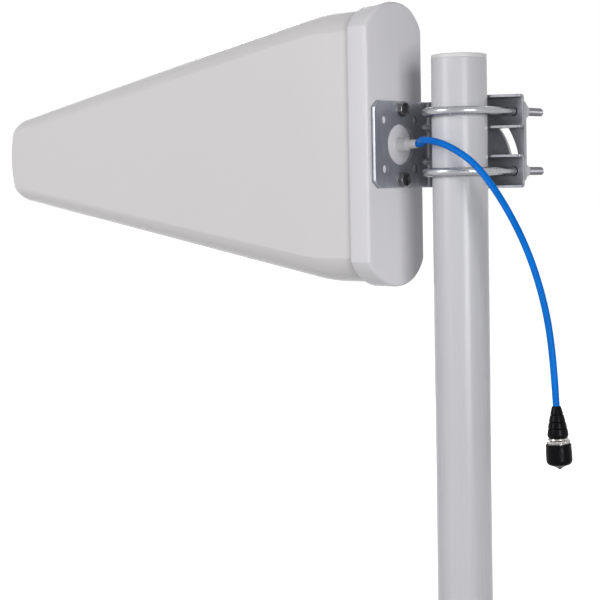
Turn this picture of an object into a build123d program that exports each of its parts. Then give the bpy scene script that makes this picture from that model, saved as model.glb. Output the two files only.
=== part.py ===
"""Log-periodic directional antenna in a tapered radome, clamped to a mast.

Millimetres. The origin is the centre of the mast's foot. +Z runs up the mast, the antenna
looks along -X, and +Y is the side that carries the clamp's nuts.
"""

import math
import os

from build123d import *

# ---------------------------------------------------------------- driving dimensions
# mast
mast_diameter = 40.0
mast_wall = 2.0
mast_length = 600.0
mast_cap_thickness = 3.0
mast_cap_edge = 2.0
mast_plug_depth = 14.0
mast_recess_step = 0.2
mast_recess_depth = 15.0
mast_top_reach = 62.5

# antenna envelope
antenna_length = 435.0
rear_face_x = -56.5
cap_depth = 20.0
cap_wall = 2.8
cap_end_rise = 19.5
cap_crown = 2.5
cap_panel = 5.5
cap_edge_radius = 3.0
radome_height = 205.0
radome_width = 60.0
radome_end_rise = 19.0
radome_straight = 41.0
radome_wall = 2.2
radome_shoulder_radius = 150.0
tip_height = 71.0
tip_width = 38.0
tip_end_rise = 12.0
nose_bulge = 3.0
nose_radius = 5.0
seal_thickness = 1.0
fit_gap = 0.2

# tilt bracket
bracket_thickness = 2.5
bracket_height = 64.0
bracket_near_y = -30.0
bracket_aft_x = 34.0
bracket_corner = 5.0
bracket_bend_radius = 2.0
bracket_window = 30.0
bracket_hole = 6.4
bracket_hole_pitch = 36.0
dart_reach = 7.0
dart_width = 5.0
dart_wall = 1.0
dart_spacing = 25.0
pad_width = 52.0
pad_height = 56.0
pad_corner = 4.0

# mast clamp
rod_diameter = 6.0
leg_gap = 3.0
clamp_spacing = 43.0
rod_thread_reach = 21.7
rod_end_chamfer = 0.7
saddle_height = 24.0
saddle_overhang = 8.0
saddle_sheet = 2.0
saddle_stand_off = 10.0
saddle_seat_depth = 4.0
lip_end_depth = 3.8
lip_tip_flat = 3.0
slide_gap = 0.3
pivot_clearance = 0.08
hole_clearance = 0.3
slot_clearance = 0.35
tilt_up = 5.0
tilt_down = 4.0
long_slot_sweep = 45.0

# fasteners
washer_diameter = 12.0
washer_thickness = 1.6
spring_washer_step = 1.0
split_width = 0.8
split_angle = 15.0
nut_across_flats = 10.0
nut_thickness = 5.0
bolt_diameter = 6.0
bolt_spacing = 52.0
bolt_head_height = 4.0
bolt_washer_diameter = 11.0
bolt_washer_thickness = 1.2
insert_diameter = 8.0
insert_recess = 0.3
head_chamfer = 0.5
thread_gap = 0.05

# cable and its outlet
cable_diameter = 4.8
boss_diameter = 9.4
boss_length = 9.5
boss_edge = 1.0
nozzle_wall = 0.8
nozzle_length = 8.5
grommet_flange = 16.0
grommet_flange_thickness = 2.0

# log-periodic array
boom_width = 10.0
boom_gap = 7.0
boom_rear_gap = 7.5
boom_nose_gap = 9.5
shorting_thickness = 3.0
first_element_gap = 18.0
last_element_gap = 7.5
element_tip_gap = 5.3
element_diameter = 4.0
element_least_diameter = 2.4
scale_ratio = 0.88
element_count = 10
element_seat = 5.0
bulkhead_thickness = 4.0
bulkhead_inset = 8.0
spacer_length = 8.0
spacer_shares = (0.2, 0.5, 0.8)
feed_link_thickness = 1.0

# connector at the end of the cable
boot_length = 21.5
boot_wall = 0.8
boot_large_radius = 7.3
boot_collar = 0.8
boot_ribs = 4
boot_groove = 0.4
ferrule_wall = 1.1
ferrule_length = 13.5
ring_radius = 8.0
ring_length = 5.4
ring_exposed = 4.2
ring_edge = 0.5
ring_flutes = 20
flute_radius = 0.6
barrel_radius = 7.9
barrel_bore_radius = 6.2
barrel_length = 9.4
thread_relief = 0.6
contact_length = 5.0
contact_radius = 1.5
contact_bore_radius = 0.85
dust_cap_wall = 0.8
dust_cap_top = 3.5
dust_cap_head_room = 0.6
dust_cap_shoulder = 3.1
dust_cap_cone = 1.5
dust_cap_bead = 0.3
dust_cap_bead_length = 1.4
nib_radius = 1.6
nib_length = 1.2

# ---------------------------------------------------------------- derived places
mast_radius = mast_diameter / 2
plug_seat_radius = mast_radius - mast_wall + mast_recess_step
antenna_height = mast_length - mast_top_reach
cap_height = radome_height + 2 * (cap_wall + fit_gap)
cap_width = radome_width + 2 * (cap_wall + fit_gap)
cap_front_x = rear_face_x - cap_depth
panel_inner_x = rear_face_x - cap_panel
radome_rear_x = panel_inner_x - seal_thickness
taper_x = cap_front_x - radome_straight
tip_x = rear_face_x - antenna_length
bracket_rear_x = rear_face_x + bracket_thickness
saddle_front_y = mast_radius + saddle_stand_off
leg_inner_y = saddle_front_y + saddle_sheet + slide_gap
leg_outer_y = leg_inner_y + bracket_thickness
washer_y = leg_outer_y + slide_gap
rod_radius = rod_diameter / 2
rod_end_y = washer_y + 2 * washer_thickness + nut_thickness + rod_thread_reach
bolt_radius = bolt_diameter / 2
bolt_places = [(0, bolt_spacing / 2), (0, -bolt_spacing / 2)]
leg_spacing = mast_diameter + rod_diameter + 2 * leg_gap
half_leg = leg_spacing / 2
half_clamp = clamp_spacing / 2
slot_width = rod_diameter + 2 * slot_clearance
bow_inner_radius = half_leg - rod_radius
bow_centre_y = bow_inner_radius - mast_radius - slide_gap
nozzle_end_x = rear_face_x + boss_length + nozzle_length
nozzle_radius = cable_diameter / 2 + nozzle_wall
boot_small_radius = cable_diameter / 2 + boot_wall
ferrule_radius = cable_diameter / 2 + ferrule_wall
ferrule_start = boot_length - ferrule_length
ring_end = boot_length + ring_length
barrel_end = ring_end + barrel_length
dust_cap_start = boot_length + ring_exposed
dust_cap_end = barrel_end + dust_cap_head_room + dust_cap_top
nib_start = dust_cap_end + dust_cap_cone
dust_cap_bore_radius = barrel_radius + fit_gap
dust_cap_radius = dust_cap_bore_radius + dust_cap_wall
boom_centre_y = (boom_gap + boom_width) / 2
boom_span = 2 * boom_width + boom_gap
boom_rear_x = cap_front_x - boom_rear_gap
boom_front_x = tip_x + boom_nose_gap
rear_bulkhead_x = boom_rear_x - bulkhead_inset
front_bulkhead_x = boom_front_x + bulkhead_inset + 2 * feed_link_thickness
first_element_x = boom_rear_x - first_element_gap
last_element_x = front_bulkhead_x + last_element_gap
first_half_length = radome_height / 2 - radome_wall - element_tip_gap
pivot = (-half_leg, -half_clamp)

# Cable route, chosen by hand: out of the nozzle, round the near side of the mast, then down.
cable_route = [
    (nozzle_end_x, 0.0, antenna_height),
    (-34.6, 0.0, antenna_height),
    (-31.0, -2.4, antenna_height + 0.4),
    (-28.2, -6.6, antenna_height + 0.9),
    (-24.8, -14.2, antenna_height + 1.4),
    (-15.5, -24.4, antenna_height + 1.8),
    (-1.5, -30.6, antenna_height + 1.0),
    (16.5, -32.4, antenna_height - 4.2),
    (37.5, -31.6, antenna_height - 17.0),
    (58.0, -30.2, antenna_height - 42.0),
    (77.0, -28.6, antenna_height - 75.0),
    (90.0, -27.4, antenna_height - 113.0),
    (95.5, -26.5, antenna_height - 150.0),
    (97.0, -26.0, antenna_height - 181.0),
]

os.makedirs("parts", exist_ok=True)


def across(x, z=antenna_height):
    """Plane square to the boresight: local x is +Y, local y is +Z, its normal is +X."""
    return Plane(origin=(x, 0, z), x_dir=(0, 1, 0), z_dir=(1, 0, 0))


def beside(y, z=antenna_height):
    """Plane parallel to the bracket's side leg: local x is +X, local y is +Z, normal -Y."""
    return Plane(origin=(0, y, z), x_dir=(1, 0, 0), z_dir=(0, -1, 0))


def panel_section(x, height, width, end_rise):
    """Closed outline with two flat sides and two arched ends, on the plane at x."""
    half_height = height / 2
    half_width = width / 2
    shoulder = half_height - end_rise
    with BuildSketch(across(x)) as section:
        with BuildLine():
            Line((half_width, -shoulder), (half_width, shoulder))
            ThreePointArc((half_width, shoulder), (0, half_height), (-half_width, shoulder))
            Line((-half_width, shoulder), (-half_width, -shoulder))
            ThreePointArc((-half_width, -shoulder), (0, -half_height), (half_width, -shoulder))
        make_face()
    return section.sketch


def radome_size(x):
    """Outer height, width and end rise of the radome's taper at x."""
    share = (taper_x - x) / (taper_x - tip_x)
    share = min(max(share, 0.0), 1.0)
    height = radome_height + share * (tip_height - radome_height)
    width = radome_width + share * (tip_width - radome_width)
    rise = radome_end_rise + share * (tip_end_rise - radome_end_rise)
    return height, width, rise


def radome_section(x, inset=0.0):
    """The radome's outline at x, drawn in by an inset all round."""
    height, width, rise = radome_size(x)
    return panel_section(x, height - 2 * inset, width - 2 * inset, rise - inset / 3)


# ---------------------------------------------------------------- mast
with BuildPart() as mast_tube:
    with BuildSketch():
        Circle(mast_radius)
        Circle(mast_radius - mast_wall, mode=Mode.SUBTRACT)
    extrude(amount=mast_length - mast_cap_thickness)
    # recess that seats the cap's plug
    with BuildSketch(Plane.XY.offset(mast_length - mast_cap_thickness)):
        Circle(plug_seat_radius)
    extrude(amount=-mast_recess_depth, mode=Mode.SUBTRACT)
mast_tube.part.label = "mast_tube"
export_step(mast_tube.part, "parts/mast_tube.step")

with BuildPart() as mast_top_cap:
    with BuildSketch(Plane.XY.offset(mast_length - mast_cap_thickness)):
        Circle(mast_radius)
    extrude(amount=mast_cap_thickness)
    fillet(mast_top_cap.edges().group_by(Axis.Z)[-1], mast_cap_edge)
    with BuildSketch(Plane.XY.offset(mast_length - mast_cap_thickness)):
        Circle(plug_seat_radius - fit_gap)
        Circle(plug_seat_radius - fit_gap - mast_wall, mode=Mode.SUBTRACT)
    extrude(amount=-mast_plug_depth)
mast_top_cap.part.label = "mast_top_cap"
export_step(mast_top_cap.part, "parts/mast_top_cap.step")


# ---------------------------------------------------------------- radome
with BuildPart() as radome_shell:
    extrude(radome_section(radome_rear_x), amount=taper_x - radome_rear_x)
    loft(sections=[radome_section(taper_x), radome_section(tip_x)], ruled=True)
    nose_reach = tip_height / 2 + nose_radius
    nose_side_x = tip_x + nose_bulge * (2 * nose_reach / tip_height) ** 2
    with BuildSketch(beside(0)):
        with BuildLine():
            ThreePointArc((nose_side_x, -nose_reach), (tip_x, 0), (nose_side_x, nose_reach))
            Polyline(
                (nose_side_x, nose_reach),
                (nose_side_x, radome_height),
                (0, radome_height),
                (0, -radome_height),
                (nose_side_x, -radome_height),
                (nose_side_x, -nose_reach),
            )
        make_face()
    extrude(amount=cap_width, both=True, mode=Mode.INTERSECT)
    fillet(radome_shell.faces().sort_by(Axis.X)[0].edges(), nose_radius)
    shoulder_edges = radome_shell.edges().filter_by_position(Axis.X, taper_x - 0.1, taper_x + 0.1)
    fillet(shoulder_edges, radome_shoulder_radius)
    extrude(
        radome_section(radome_rear_x, radome_wall),
        amount=taper_x - radome_rear_x,
        mode=Mode.SUBTRACT,
    )
    nose_inner_x = tip_x + nose_bulge + radome_wall
    loft(
        sections=[radome_section(taper_x, radome_wall), radome_section(nose_inner_x, radome_wall)],
        ruled=True,
        mode=Mode.SUBTRACT,
    )
radome_shell.part.label = "radome_shell"
export_step(radome_shell.part, "parts/radome_shell.step")

with BuildPart() as radome_seal:
    extrude(radome_section(radome_rear_x), amount=seal_thickness)
    extrude(
        radome_section(radome_rear_x, radome_wall),
        amount=seal_thickness,
        mode=Mode.SUBTRACT,
    )
radome_seal.part.label = "radome_seal"
export_step(radome_seal.part, "parts/radome_seal.step")

# ---------------------------------------------------------------- rear cap
with BuildPart() as rear_cap:
    extrude(panel_section(rear_face_x, cap_height, cap_width, cap_end_rise), amount=-cap_depth)
    with BuildSketch(Plane.XY.offset(antenna_height)):
        with BuildLine():
            ThreePointArc(
                (rear_face_x - cap_crown, -cap_width / 2),
                (rear_face_x, 0),
                (rear_face_x - cap_crown, cap_width / 2),
            )
            Line((rear_face_x - cap_crown, cap_width / 2), (cap_front_x, cap_width / 2))
            Line((cap_front_x, cap_width / 2), (cap_front_x, -cap_width / 2))
            Line((cap_front_x, -cap_width / 2), (rear_face_x - cap_crown, -cap_width / 2))
        make_face()
    extrude(amount=cap_height, both=True, mode=Mode.INTERSECT)
    fillet(rear_cap.faces().sort_by(Axis.X)[-1].edges(), cap_edge_radius)
    with BuildSketch(across(rear_face_x)):
        RectangleRounded(pad_width, pad_height, pad_corner)
    extrude(amount=-cap_crown)
    extrude(
        panel_section(
            panel_inner_x,
            radome_height + 2 * fit_gap,
            radome_width + 2 * fit_gap,
            radome_end_rise,
        ),
        amount=cap_front_x - panel_inner_x,
        mode=Mode.SUBTRACT,
    )
    with BuildSketch(across(rear_face_x)):
        Circle(boss_diameter / 2 + fit_gap / 2)
        with Locations(*bolt_places):
            Circle(insert_diameter / 2 + thread_gap)
    extrude(amount=-cap_panel, mode=Mode.SUBTRACT)
rear_cap.part.label = "rear_cap"
export_step(rear_cap.part, "parts/rear_cap.step")

with BuildPart() as threaded_inserts:
    with BuildSketch(across(rear_face_x - insert_recess)):
        with Locations(*bolt_places):
            Circle(insert_diameter / 2)
            Circle(bolt_radius + thread_gap, mode=Mode.SUBTRACT)
    extrude(amount=-(cap_panel - insert_recess))
threaded_inserts.part.label = "threaded_inserts"
export_step(threaded_inserts.part, "parts/threaded_inserts.step")

# The grommet is pushed out through the cap from inside, so its flange lies on the panel.
with BuildPart() as cable_grommet:
    with BuildSketch(Plane.XY.offset(antenna_height)):
        with BuildLine():
            Polyline(
                (panel_inner_x - grommet_flange_thickness, 0),
                (panel_inner_x - grommet_flange_thickness, grommet_flange / 2),
                (panel_inner_x, grommet_flange / 2),
                (panel_inner_x, boss_diameter / 2),
                (rear_face_x + boss_length - boss_edge, boss_diameter / 2),
                (rear_face_x + boss_length, boss_diameter / 2 - boss_edge),
                (rear_face_x + boss_length + boss_edge, nozzle_radius),
                (nozzle_end_x, nozzle_radius),
                (nozzle_end_x, 0),
                close=True,
            )
        make_face()
    revolve(axis=Axis((0, 0, antenna_height), (1, 0, 0)))
    with BuildSketch(across(nozzle_end_x)):
        Circle(cable_diameter / 2 + thread_gap)
    extrude(amount=-(nozzle_end_x - panel_inner_x + grommet_flange_thickness), mode=Mode.SUBTRACT)
cable_grommet.part.label = "cable_grommet"
export_step(cable_grommet.part, "parts/cable_grommet.step")

# ---------------------------------------------------------------- tilt bracket
# The lower front leg is the pivot. Each other leg has an arc slot about it.
upper_leg = Vector(half_leg, half_clamp) - Vector(*pivot)
upper_leg_angle = math.degrees(math.atan2(upper_leg.Y, upper_leg.X))
tilt_sweep = tilt_up + tilt_down
slot_arcs = [
    CenterArc(pivot, leg_spacing, -tilt_down, long_slot_sweep + tilt_down),
    CenterArc(pivot, upper_leg.length, upper_leg_angle - tilt_down, tilt_sweep),
    CenterArc(pivot, clamp_spacing, 90 - tilt_down, tilt_sweep),
]

with BuildPart() as tilt_bracket:
    with BuildSketch(Plane.XY.offset(antenna_height - bracket_height / 2)):
        with BuildLine():
            Polyline(
                (rear_face_x, bracket_near_y),
                (bracket_rear_x, bracket_near_y),
                (bracket_rear_x, leg_inner_y),
                (bracket_aft_x, leg_inner_y),
                (bracket_aft_x, leg_outer_y),
                (rear_face_x, leg_outer_y),
                close=True,
            )
        profile = make_face()
        inner_bend = profile.vertices().sort_by_distance((bracket_rear_x, leg_inner_y, 0))[0]
        fillet(inner_bend, bracket_bend_radius)
        outer_bend = profile.vertices().sort_by_distance((rear_face_x, leg_outer_y, 0))[0]
        fillet(outer_bend, bracket_bend_radius + bracket_thickness)
    extrude(amount=bracket_height)
    chamfer(
        tilt_bracket.edges().filter_by(Axis.X).group_by(Axis.Y)[0],
        bracket_corner,
    )
    chamfer(
        tilt_bracket.edges().filter_by(Axis.Y).group_by(Axis.X)[-1],
        bracket_corner,
    )
    # darts pressed into the bend
    for dart_z in (-dart_spacing / 2, dart_spacing / 2):
        with BuildSketch(Plane.XY.offset(antenna_height + dart_z - dart_width / 2)):
            with BuildLine():
                Polyline(
                    (bracket_rear_x, leg_inner_y),
                    (bracket_rear_x + dart_reach, leg_inner_y),
                    (bracket_rear_x, leg_inner_y - dart_reach),
                    close=True,
                )
            make_face()
        extrude(amount=dart_width)
        with BuildSketch(Plane.XY.offset(antenna_height + dart_z - dart_width / 2 + dart_wall)):
            with BuildLine():
                Polyline(
                    (rear_face_x, leg_outer_y),
                    (rear_face_x + dart_reach, leg_outer_y),
                    (rear_face_x, leg_outer_y - dart_reach),
                    close=True,
                )
            make_face()
        extrude(amount=dart_width - 2 * dart_wall, mode=Mode.SUBTRACT)
    # window round the cable boss, spare holes and bolt holes in the cap leg
    with BuildSketch(across(rear_face_x)):
        Circle(bracket_window / 2)
        with GridLocations(bracket_hole_pitch, bracket_hole_pitch, 2, 2):
            Circle(bracket_hole / 2)
        with Locations(*bolt_places):
            Circle(bracket_hole / 2)
    extrude(amount=bracket_thickness, mode=Mode.SUBTRACT)
    # pivot hole and the arc slots that turn about it in the side leg
    with BuildSketch(beside(leg_outer_y)):
        with Locations(pivot):
            Circle(rod_radius + pivot_clearance)
        for slot_arc in slot_arcs:
            SlotArc(slot_arc, slot_width)
    extrude(amount=bracket_thickness, mode=Mode.SUBTRACT)
tilt_bracket.part.label = "tilt_bracket"
export_step(tilt_bracket.part, "parts/tilt_bracket.step")

with BuildPart() as bracket_washers:
    with BuildSketch(across(bracket_rear_x)):
        with Locations(*bolt_places):
            Circle(bolt_washer_diameter / 2)
            Circle(bolt_radius + fit_gap, mode=Mode.SUBTRACT)
    extrude(amount=bolt_washer_thickness)
bracket_washers.part.label = "bracket_washers"
export_step(bracket_washers.part, "parts/bracket_washers.step")

head_x = bracket_rear_x + bolt_washer_thickness
with BuildPart() as bracket_bolts:
    with BuildSketch(across(head_x)):
        with Locations(*bolt_places):
            RegularPolygon(nut_across_flats / 2, 6, major_radius=False)
    extrude(amount=bolt_head_height)
    chamfer(bracket_bolts.faces().group_by(Axis.X)[-1].edges(), head_chamfer)
    with BuildSketch(across(head_x)):
        with Locations(*bolt_places):
            Circle(bolt_radius)
    extrude(amount=-(head_x - panel_inner_x))
bracket_bolts.part.label = "bracket_bolts"
export_step(bracket_bolts.part, "parts/bracket_bolts.step")


# ---------------------------------------------------------------- mast clamp
def build_saddle(z):
    """Folded channel whose lips seat on the mast and whose web lies on the side leg."""
    seat_radius = mast_radius + slide_gap
    lip_tip_y = mast_radius - saddle_seat_depth
    lip_end_y = saddle_front_y - lip_end_depth
    seat_half = math.sqrt(seat_radius**2 - lip_tip_y**2)
    web_back_y = saddle_front_y + saddle_sheet
    half_length = half_leg + saddle_overhang
    with BuildPart() as saddle:
        with BuildSketch(Plane.XY.offset(z - saddle_height / 2)):
            with BuildLine():
                Polyline(
                    (-seat_half, lip_tip_y),
                    (-seat_half - lip_tip_flat, lip_tip_y),
                    (-half_length, lip_end_y),
                    (-half_length, web_back_y),
                    (half_length, web_back_y),
                    (half_length, lip_end_y),
                    (seat_half + lip_tip_flat, lip_tip_y),
                    (seat_half, lip_tip_y),
                )
                ThreePointArc(
                    (seat_half, lip_tip_y), (0, seat_radius), (-seat_half, lip_tip_y)
                )
            make_face()
        extrude(amount=saddle_height)
        fillet(saddle.faces().sort_by(Axis.Y)[-1].edges().filter_by(Axis.X), saddle_sheet)
        with BuildSketch(beside(saddle_front_y, z)):
            Rectangle(2 * half_length, saddle_height - 2 * saddle_sheet)
        extrude(amount=saddle_front_y, mode=Mode.SUBTRACT)
        with BuildSketch(beside(web_back_y, z)):
            with Locations((-half_leg, 0), (half_leg, 0)):
                Circle(rod_radius + hole_clearance)
        extrude(amount=saddle_sheet, mode=Mode.SUBTRACT)
    return saddle.part


def build_u_bolt(z):
    """Round rod bent round the near side of the mast, both ends square to the side leg."""
    with BuildPart() as u_bolt:
        with BuildLine(Plane.XY.offset(z)) as rod_path:
            Line((-half_leg, rod_end_y), (-half_leg, bow_centre_y))
            ThreePointArc(
                (-half_leg, bow_centre_y),
                (0, bow_centre_y - half_leg),
                (half_leg, bow_centre_y),
            )
            Line((half_leg, bow_centre_y), (half_leg, rod_end_y))
        with BuildSketch(Plane(origin=rod_path.line @ 0, z_dir=rod_path.line % 0)):
            Circle(rod_radius)
        sweep()
        chamfer(u_bolt.faces().group_by(Axis.Y)[-1].edges(), rod_end_chamfer)
    return u_bolt.part


for clamp_name, clamp_z in (
    ("lower", antenna_height - half_clamp),
    ("upper", antenna_height + half_clamp),
):
    saddle_part = build_saddle(clamp_z)
    saddle_part.label = clamp_name + "_saddle"
    export_step(saddle_part, "parts/" + clamp_name + "_saddle.step")
    u_bolt_part = build_u_bolt(clamp_z)
    u_bolt_part.label = clamp_name + "_u_bolt"
    export_step(u_bolt_part, "parts/" + clamp_name + "_u_bolt.step")

with BuildPart() as flat_washers:
    with BuildSketch(beside(washer_y)):
        with GridLocations(leg_spacing, clamp_spacing, 2, 2):
            Circle(washer_diameter / 2)
            Circle(rod_radius + fit_gap, mode=Mode.SUBTRACT)
    extrude(amount=-washer_thickness)
flat_washers.part.label = "flat_washers"
export_step(flat_washers.part, "parts/flat_washers.step")

with BuildPart() as spring_washers:
    with BuildSketch(beside(washer_y + washer_thickness)):
        with GridLocations(leg_spacing, clamp_spacing, 2, 2):
            Circle(washer_diameter / 2 - spring_washer_step)
            Circle(rod_radius + fit_gap, mode=Mode.SUBTRACT)
            with Locations((0, washer_diameter / 2 - spring_washer_step - 1)):
                Rectangle(split_width, 0.3 * washer_diameter, split_angle, mode=Mode.SUBTRACT)
    extrude(amount=-washer_thickness)
spring_washers.part.label = "spring_washers"
export_step(spring_washers.part, "parts/spring_washers.step")

with BuildPart() as hex_nuts:
    with BuildSketch(beside(washer_y + 2 * washer_thickness)):
        with GridLocations(leg_spacing, clamp_spacing, 2, 2):
            RegularPolygon(nut_across_flats / 2, 6, major_radius=False)
            Circle(rod_radius + thread_gap, mode=Mode.SUBTRACT)
    extrude(amount=-nut_thickness)
hex_nuts.part.label = "hex_nuts"
export_step(hex_nuts.part, "parts/hex_nuts.step")

# ---------------------------------------------------------------- log-periodic array
# Each dipole and each step between dipoles is the last one times scale_ratio, so the tips
# run along a straight line inside the radome's taper. The steps fill the booms' length. A
# dipole's two halves sit on opposite booms, and they swap sides each time.
array_length = first_element_x - last_element_x
element_step = array_length * (1 - scale_ratio) / (1 - scale_ratio ** (element_count - 1))
element_places = []
element_x = first_element_x
half_length_now = first_half_length
for number in range(element_count):
    radius_now = max(element_diameter * scale_ratio ** (number / 2), element_least_diameter) / 2
    element_places.append((element_x, half_length_now, radius_now))
    element_x -= element_step
    element_step *= scale_ratio
    half_length_now *= scale_ratio


def upward(number, side):
    """+1 where this boom carries the dipole's upper half, -1 where it carries the lower."""
    return side if number % 2 == 0 else -side


for boom_name, side in (("near", -1), ("far", 1)):
    with BuildPart() as boom:
        with BuildSketch(across(boom_rear_x)):
            with Locations((side * boom_centre_y, 0)):
                Rectangle(boom_width, boom_width)
        extrude(amount=boom_front_x - boom_rear_x)
        for number, (x, _, radius) in enumerate(element_places):
            up = upward(number, side)
            face_z = antenna_height + up * boom_width / 2
            seat_plane = Plane(
                origin=(x, side * boom_centre_y, face_z), x_dir=(1, 0, 0), z_dir=(0, 0, up)
            )
            with BuildSketch(seat_plane):
                Circle(radius + thread_gap)
            extrude(amount=-element_seat, mode=Mode.SUBTRACT)
    boom.part.label = boom_name + "_boom"
    export_step(boom.part, "parts/" + boom_name + "_boom.step")

    for half_name, wanted in (("upper", 1), ("lower", -1)):
        with BuildPart() as rods:
            for number, (x, half_length, radius) in enumerate(element_places):
                if upward(number, side) != wanted:
                    continue
                seat_z = antenna_height + wanted * (boom_width / 2 - element_seat)
                rod_plane = Plane(
                    origin=(x, side * boom_centre_y, seat_z),
                    x_dir=(1, 0, 0),
                    z_dir=(0, 0, wanted),
                )
                with BuildSketch(rod_plane):
                    Circle(radius)
                extrude(amount=half_length - boom_width / 2 + element_seat)
        rods.part.label = boom_name + "_" + half_name + "_elements"
        export_step(rods.part, "parts/" + rods.part.label + ".step")

with BuildPart() as shorting_plate:
    with BuildSketch(across(boom_rear_x)):
        Rectangle(boom_span, boom_width)
        Circle(cable_diameter / 2 + fit_gap, mode=Mode.SUBTRACT)
    extrude(amount=shorting_thickness)
shorting_plate.part.label = "shorting_plate"
export_step(shorting_plate.part, "parts/shorting_plate.step")

with BuildPart() as boom_spacers:
    for spacer_share in spacer_shares:
        spacer_x = boom_rear_x + spacer_share * (boom_front_x - boom_rear_x)
        with BuildSketch(across(spacer_x)):
            Rectangle(boom_gap, boom_width)
            Circle(cable_diameter / 2 + fit_gap, mode=Mode.SUBTRACT)
        extrude(amount=spacer_length)
boom_spacers.part.label = "boom_spacers"
export_step(boom_spacers.part, "parts/boom_spacers.step")

for bulkhead_name, bulkhead_x in (("rear", rear_bulkhead_x), ("front", front_bulkhead_x)):
    with BuildPart() as bulkhead:
        narrow_x = bulkhead_x - bulkhead_thickness
        inner_height, inner_width, inner_rise = radome_size(narrow_x)
        inset = 2 * (radome_wall + slide_gap)
        relief_height = inner_height / 4
        relief_width = inner_width / 2.5
        relief_z = 1.1 * relief_height
        extrude(
            panel_section(bulkhead_x, inner_height - inset, inner_width - inset, inner_rise),
            amount=-bulkhead_thickness,
        )
        with BuildSketch(across(bulkhead_x)):
            Rectangle(boom_span + 2 * fit_gap, boom_width + 2 * fit_gap)
            if bulkhead_name == "rear":
                with Locations((0, relief_z), (0, -relief_z)):
                    SlotOverall(relief_height, relief_width, rotation=90)
        extrude(amount=-bulkhead_thickness, mode=Mode.SUBTRACT)
    bulkhead.part.label = bulkhead_name + "_bulkhead"
    export_step(bulkhead.part, "parts/" + bulkhead_name + "_bulkhead.step")

with BuildPart() as feed_link:
    with BuildSketch(across(boom_front_x)):
        with Locations((boom_span / 4 - cable_diameter / 4, 0)):
            Rectangle(boom_span / 2 + cable_diameter / 2, 0.7 * boom_width)
    extrude(amount=-feed_link_thickness)
feed_link.part.label = "feed_link"
export_step(feed_link.part, "parts/feed_link.step")

with BuildPart() as feed_coax:
    with BuildSketch(across(nozzle_end_x)):
        Circle(cable_diameter / 2)
    extrude(amount=boom_front_x - nozzle_end_x)
feed_coax.part.label = "feed_coax"
export_step(feed_coax.part, "parts/feed_coax.step")

# ---------------------------------------------------------------- hanging cable
route = [Vector(*point) for point in cable_route]
runs = [(b - a).length for a, b in zip(route, route[1:])]
turns = [(b - a).get_angle(c - b) for a, b, c in zip(route, route[1:], route[2:])]
radii = [
    0.45 * min(before, after) / math.tan(math.radians(turn / 2))
    for before, after, turn in zip(runs, runs[1:], turns)
]
print("cable runs", [round(run, 1) for run in runs])
print("cable turns", [round(turn, 1) for turn in turns])
print("cable radii", [round(radius, 1) for radius in radii])

with BuildPart() as coax_pigtail:
    with BuildLine() as cable_line:
        FilletPolyline(*route, radius=radii)
    with BuildSketch(Plane(origin=cable_line.line @ 0, z_dir=cable_line.line % 0)):
        Circle(cable_diameter / 2)
    sweep()
coax_pigtail.part.label = "coax_pigtail"
export_step(coax_pigtail.part, "parts/coax_pigtail.step")
cable_length = sum(edge.length for edge in cable_line.edges())
expected_volume = math.pi * (cable_diameter / 2) ** 2 * cable_length
print("cable length", round(cable_length, 2))
print("cable volume over section times length", coax_pigtail.part.volume / expected_volume)

# ---------------------------------------------------------------- connector
connector_axis = (route[-1] - route[-2]).normalized()
connector_side = connector_axis.cross(Vector(0, 1, 0)).normalized()
connector_top = route[-1]


def connector_plane():
    """Plane through the connector's axis: local x is the radius, local y runs along it."""
    return Plane(
        origin=connector_top,
        x_dir=connector_side,
        z_dir=connector_side.cross(connector_axis),
    )


def turned(*outline):
    """Sketch of a half outline, given as (radius, distance along the axis) points."""
    with BuildSketch(connector_plane()) as half:
        with BuildLine():
            Polyline(*outline, close=True)
        make_face()
    return half.sketch


turning_axis = Axis(connector_top, connector_axis)


def station(distance):
    """Plane square to the connector's axis, a distance along it."""
    return Plane(
        origin=connector_top + connector_axis * distance,
        x_dir=connector_side,
        z_dir=connector_axis,
    )


# Each rib of the boot lies between two grooves: (share of the pitch, depth under the crest).
rib_profile = [(0.06, boot_groove), (0.14, 0), (0.86, 0), (0.94, boot_groove)]
rib_pitch = (boot_length - boot_collar) / boot_ribs
boot_outline = [(0, 0), (boot_small_radius - thread_gap, 0), (boot_small_radius, boot_collar)]
for rib in range(boot_ribs):
    for share, depth in rib_profile:
        swell = 1 - (1 - (rib + share) / boot_ribs) ** 1.45
        crest = boot_small_radius + swell * (boot_large_radius - boot_small_radius)
        boot_outline.append((crest - depth, boot_collar + (rib + share) * rib_pitch))
boot_outline += [
    (boot_large_radius - 2 * boot_groove, boot_length),
    (ferrule_radius + thread_gap, boot_length),
    (ferrule_radius + thread_gap, ferrule_start - fit_gap),
    (0, ferrule_start - fit_gap),
]

with BuildPart() as connector_boot:
    revolve(turned(*boot_outline), axis=turning_axis)
connector_boot.part.label = "connector_boot"
export_step(connector_boot.part, "parts/connector_boot.step")

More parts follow.
